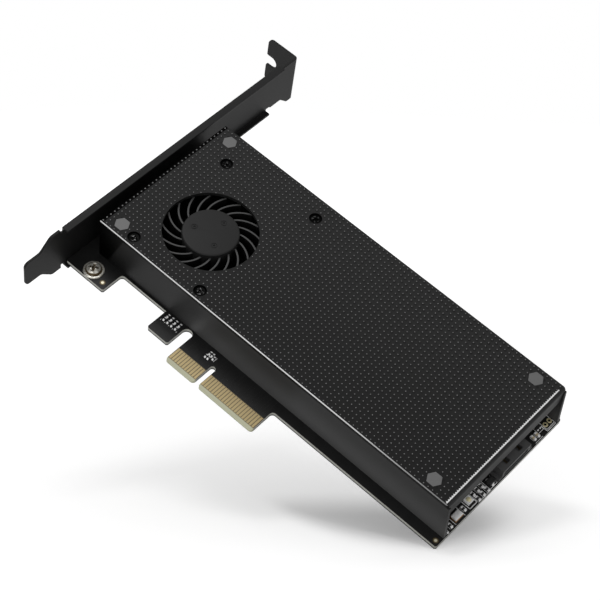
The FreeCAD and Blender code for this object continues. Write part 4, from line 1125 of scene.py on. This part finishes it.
wheel = bmesh.new()
line = [wheel.verts.new(blade_point(k / 8)) for k in range(9)]
edges = [wheel.edges.new(pair) for pair in zip(line, line[1:])]
raised = bmesh.ops.extrude_edge_only(wheel, edges=edges)["geom"]
tops = [g for g in raised if isinstance(g, bmesh.types.BMVert)]
bmesh.ops.translate(wheel, verts=tops, vec=(0, 0, (blade_high - blade_low) * MM))
bmesh.ops.recalc_face_normals(wheel, faces=wheel.faces)
bmesh.ops.solidify(wheel, geom=wheel.faces[:], thickness=0.58 * MM)
crest = [e for e in wheel.edges if len(e.link_faces) == 2
         and min(v.co.z for v in e.verts) > (blade_high - 0.01) * MM
         and e.calc_face_angle() > math.radians(60)]
bmesh.ops.bevel(wheel, geom=crest, offset=0.12 * MM, offset_type="OFFSET", affect="EDGES",
                segments=2, profile=0.5, material=-1)
bmesh.ops.spin(wheel, geom=wheel.verts[:] + wheel.edges[:] + wheel.faces[:], cent=(0, 0, 0),
               axis=(0, 0, 1), angle=2 * math.pi * (BLADES - 1) / BLADES, steps=BLADES - 1,
               use_duplicate=True)
bmesh.ops.recalc_face_normals(wheel, faces=wheel.faces)
print("blades:", BLADES)

# %% [markdown]
# ## Hub
# The hub is one more turned profile. Moulding left three gate marks in its top, each with a fine
# groove round it. They are cut with the same boolean helper as the screws' recesses.

# %% Hub
hub = turned([(0, hub_high), (HUB_RADIUS - 0.75, hub_high), (HUB_RADIUS - 0.3, hub_high - 0.08),
              (HUB_RADIUS - 0.06, hub_high - 0.35), (HUB_RADIUS, hub_high - 0.8),
              (HUB_RADIUS, hub_low), (HUB_RADIUS - 0.6, hub_low),
              (HUB_RADIUS - 0.6, hub_high - 0.6), (0, hub_high - 0.6)], 72)
GATE_REACH, GATE_TURN = 5.2, 84.5
gate_angles = [math.radians(GATE_TURN + 120 * k) for k in range(3)]
gate_spots = [Vector((GATE_REACH * math.cos(angle), GATE_REACH * math.sin(angle), hub_high)) * MM
              for angle in gate_angles]
gates = bmesh.new()
for spot in gate_spots:
    bmesh.ops.create_cone(gates, cap_ends=True, segments=20, radius1=0.3 * MM,
                          radius2=0.46 * MM, depth=0.5 * MM, matrix=Matrix.Translation(spot))
groove = turned([(0.74, -0.14), (0.74, 0.2), (0.98, 0.2), (0.98, -0.14), (0.74, -0.14)], 24)
for spot in gate_spots:
    add_copy(gates, groove, Matrix.Translation(spot))
hub = carved(hub, gates)
print("hub faces:", len(hub.faces))
add_copy(wheel, hub, Matrix.Identity(4))
bmesh.ops.translate(wheel, verts=wheel.verts, vec=(fan_centre.x, fan_centre.y, 0))

# %% [markdown]
# ## Wheel finish
# Hub and blades are one plastic, and the blade tops carry a painted highlight, which is how they
# read against the dark well. The distance from the axis tells hub from blades.

# %% Wheel
wheel_plastic = Finish("wheel_plastic", Specular_IOR_Level=0.22)
from_axis = wheel_plastic.away(fan_centre.x / MM, fan_centre.y / MM)
on_hub = 1.0 - wheel_plastic.step(from_axis, HUB_RADIUS, 0.1)
# painted highlight on the blade tops
crest_highlight = wheel_plastic.step(wheel_plastic.z, blade_high - 0.1, 0.08) * (1.0 - on_hub)
grain = wheel_plastic.noise(5.0)
base = wheel_plastic.mix(on_hub, tone(7), wheel_plastic.mix(grain, tone(24), tone(33)))
wheel_plastic.feed("Base Color", wheel_plastic.mix(crest_highlight, base, tone(76)))
wheel_plastic.feed("Roughness", grain * 0.15 + 0.42)
wheel_plastic.relief(grain, 0.12)
to_piece(wheel, "impeller_wheel", wheel_plastic, body="impeller",
         replaces=["fan_impeller"])
print("wheel rides on the impeller body")

# %% [markdown]
# ## Sizes
# Dressing a part must not change its size, so a piece that stands out of the CAD box by over a
# tenth of a millimetre is named.

STANDS_OUT = 0.1 * MM
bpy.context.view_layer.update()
for piece in bpy.context.scene.objects:
    if piece.type == "MESH" and piece is not floor:
        reach = [max(v.co[k] for v in piece.data.vertices) - cad_box[1][k] for k in range(3)]
        reach += [cad_box[0][k] - min(v.co[k] for v in piece.data.vertices) for k in range(3)]
        if max(reach) > STANDS_OUT:
            print(piece.name, "stands out of the CAD box by", round(max(reach) / MM, 2), "mm")
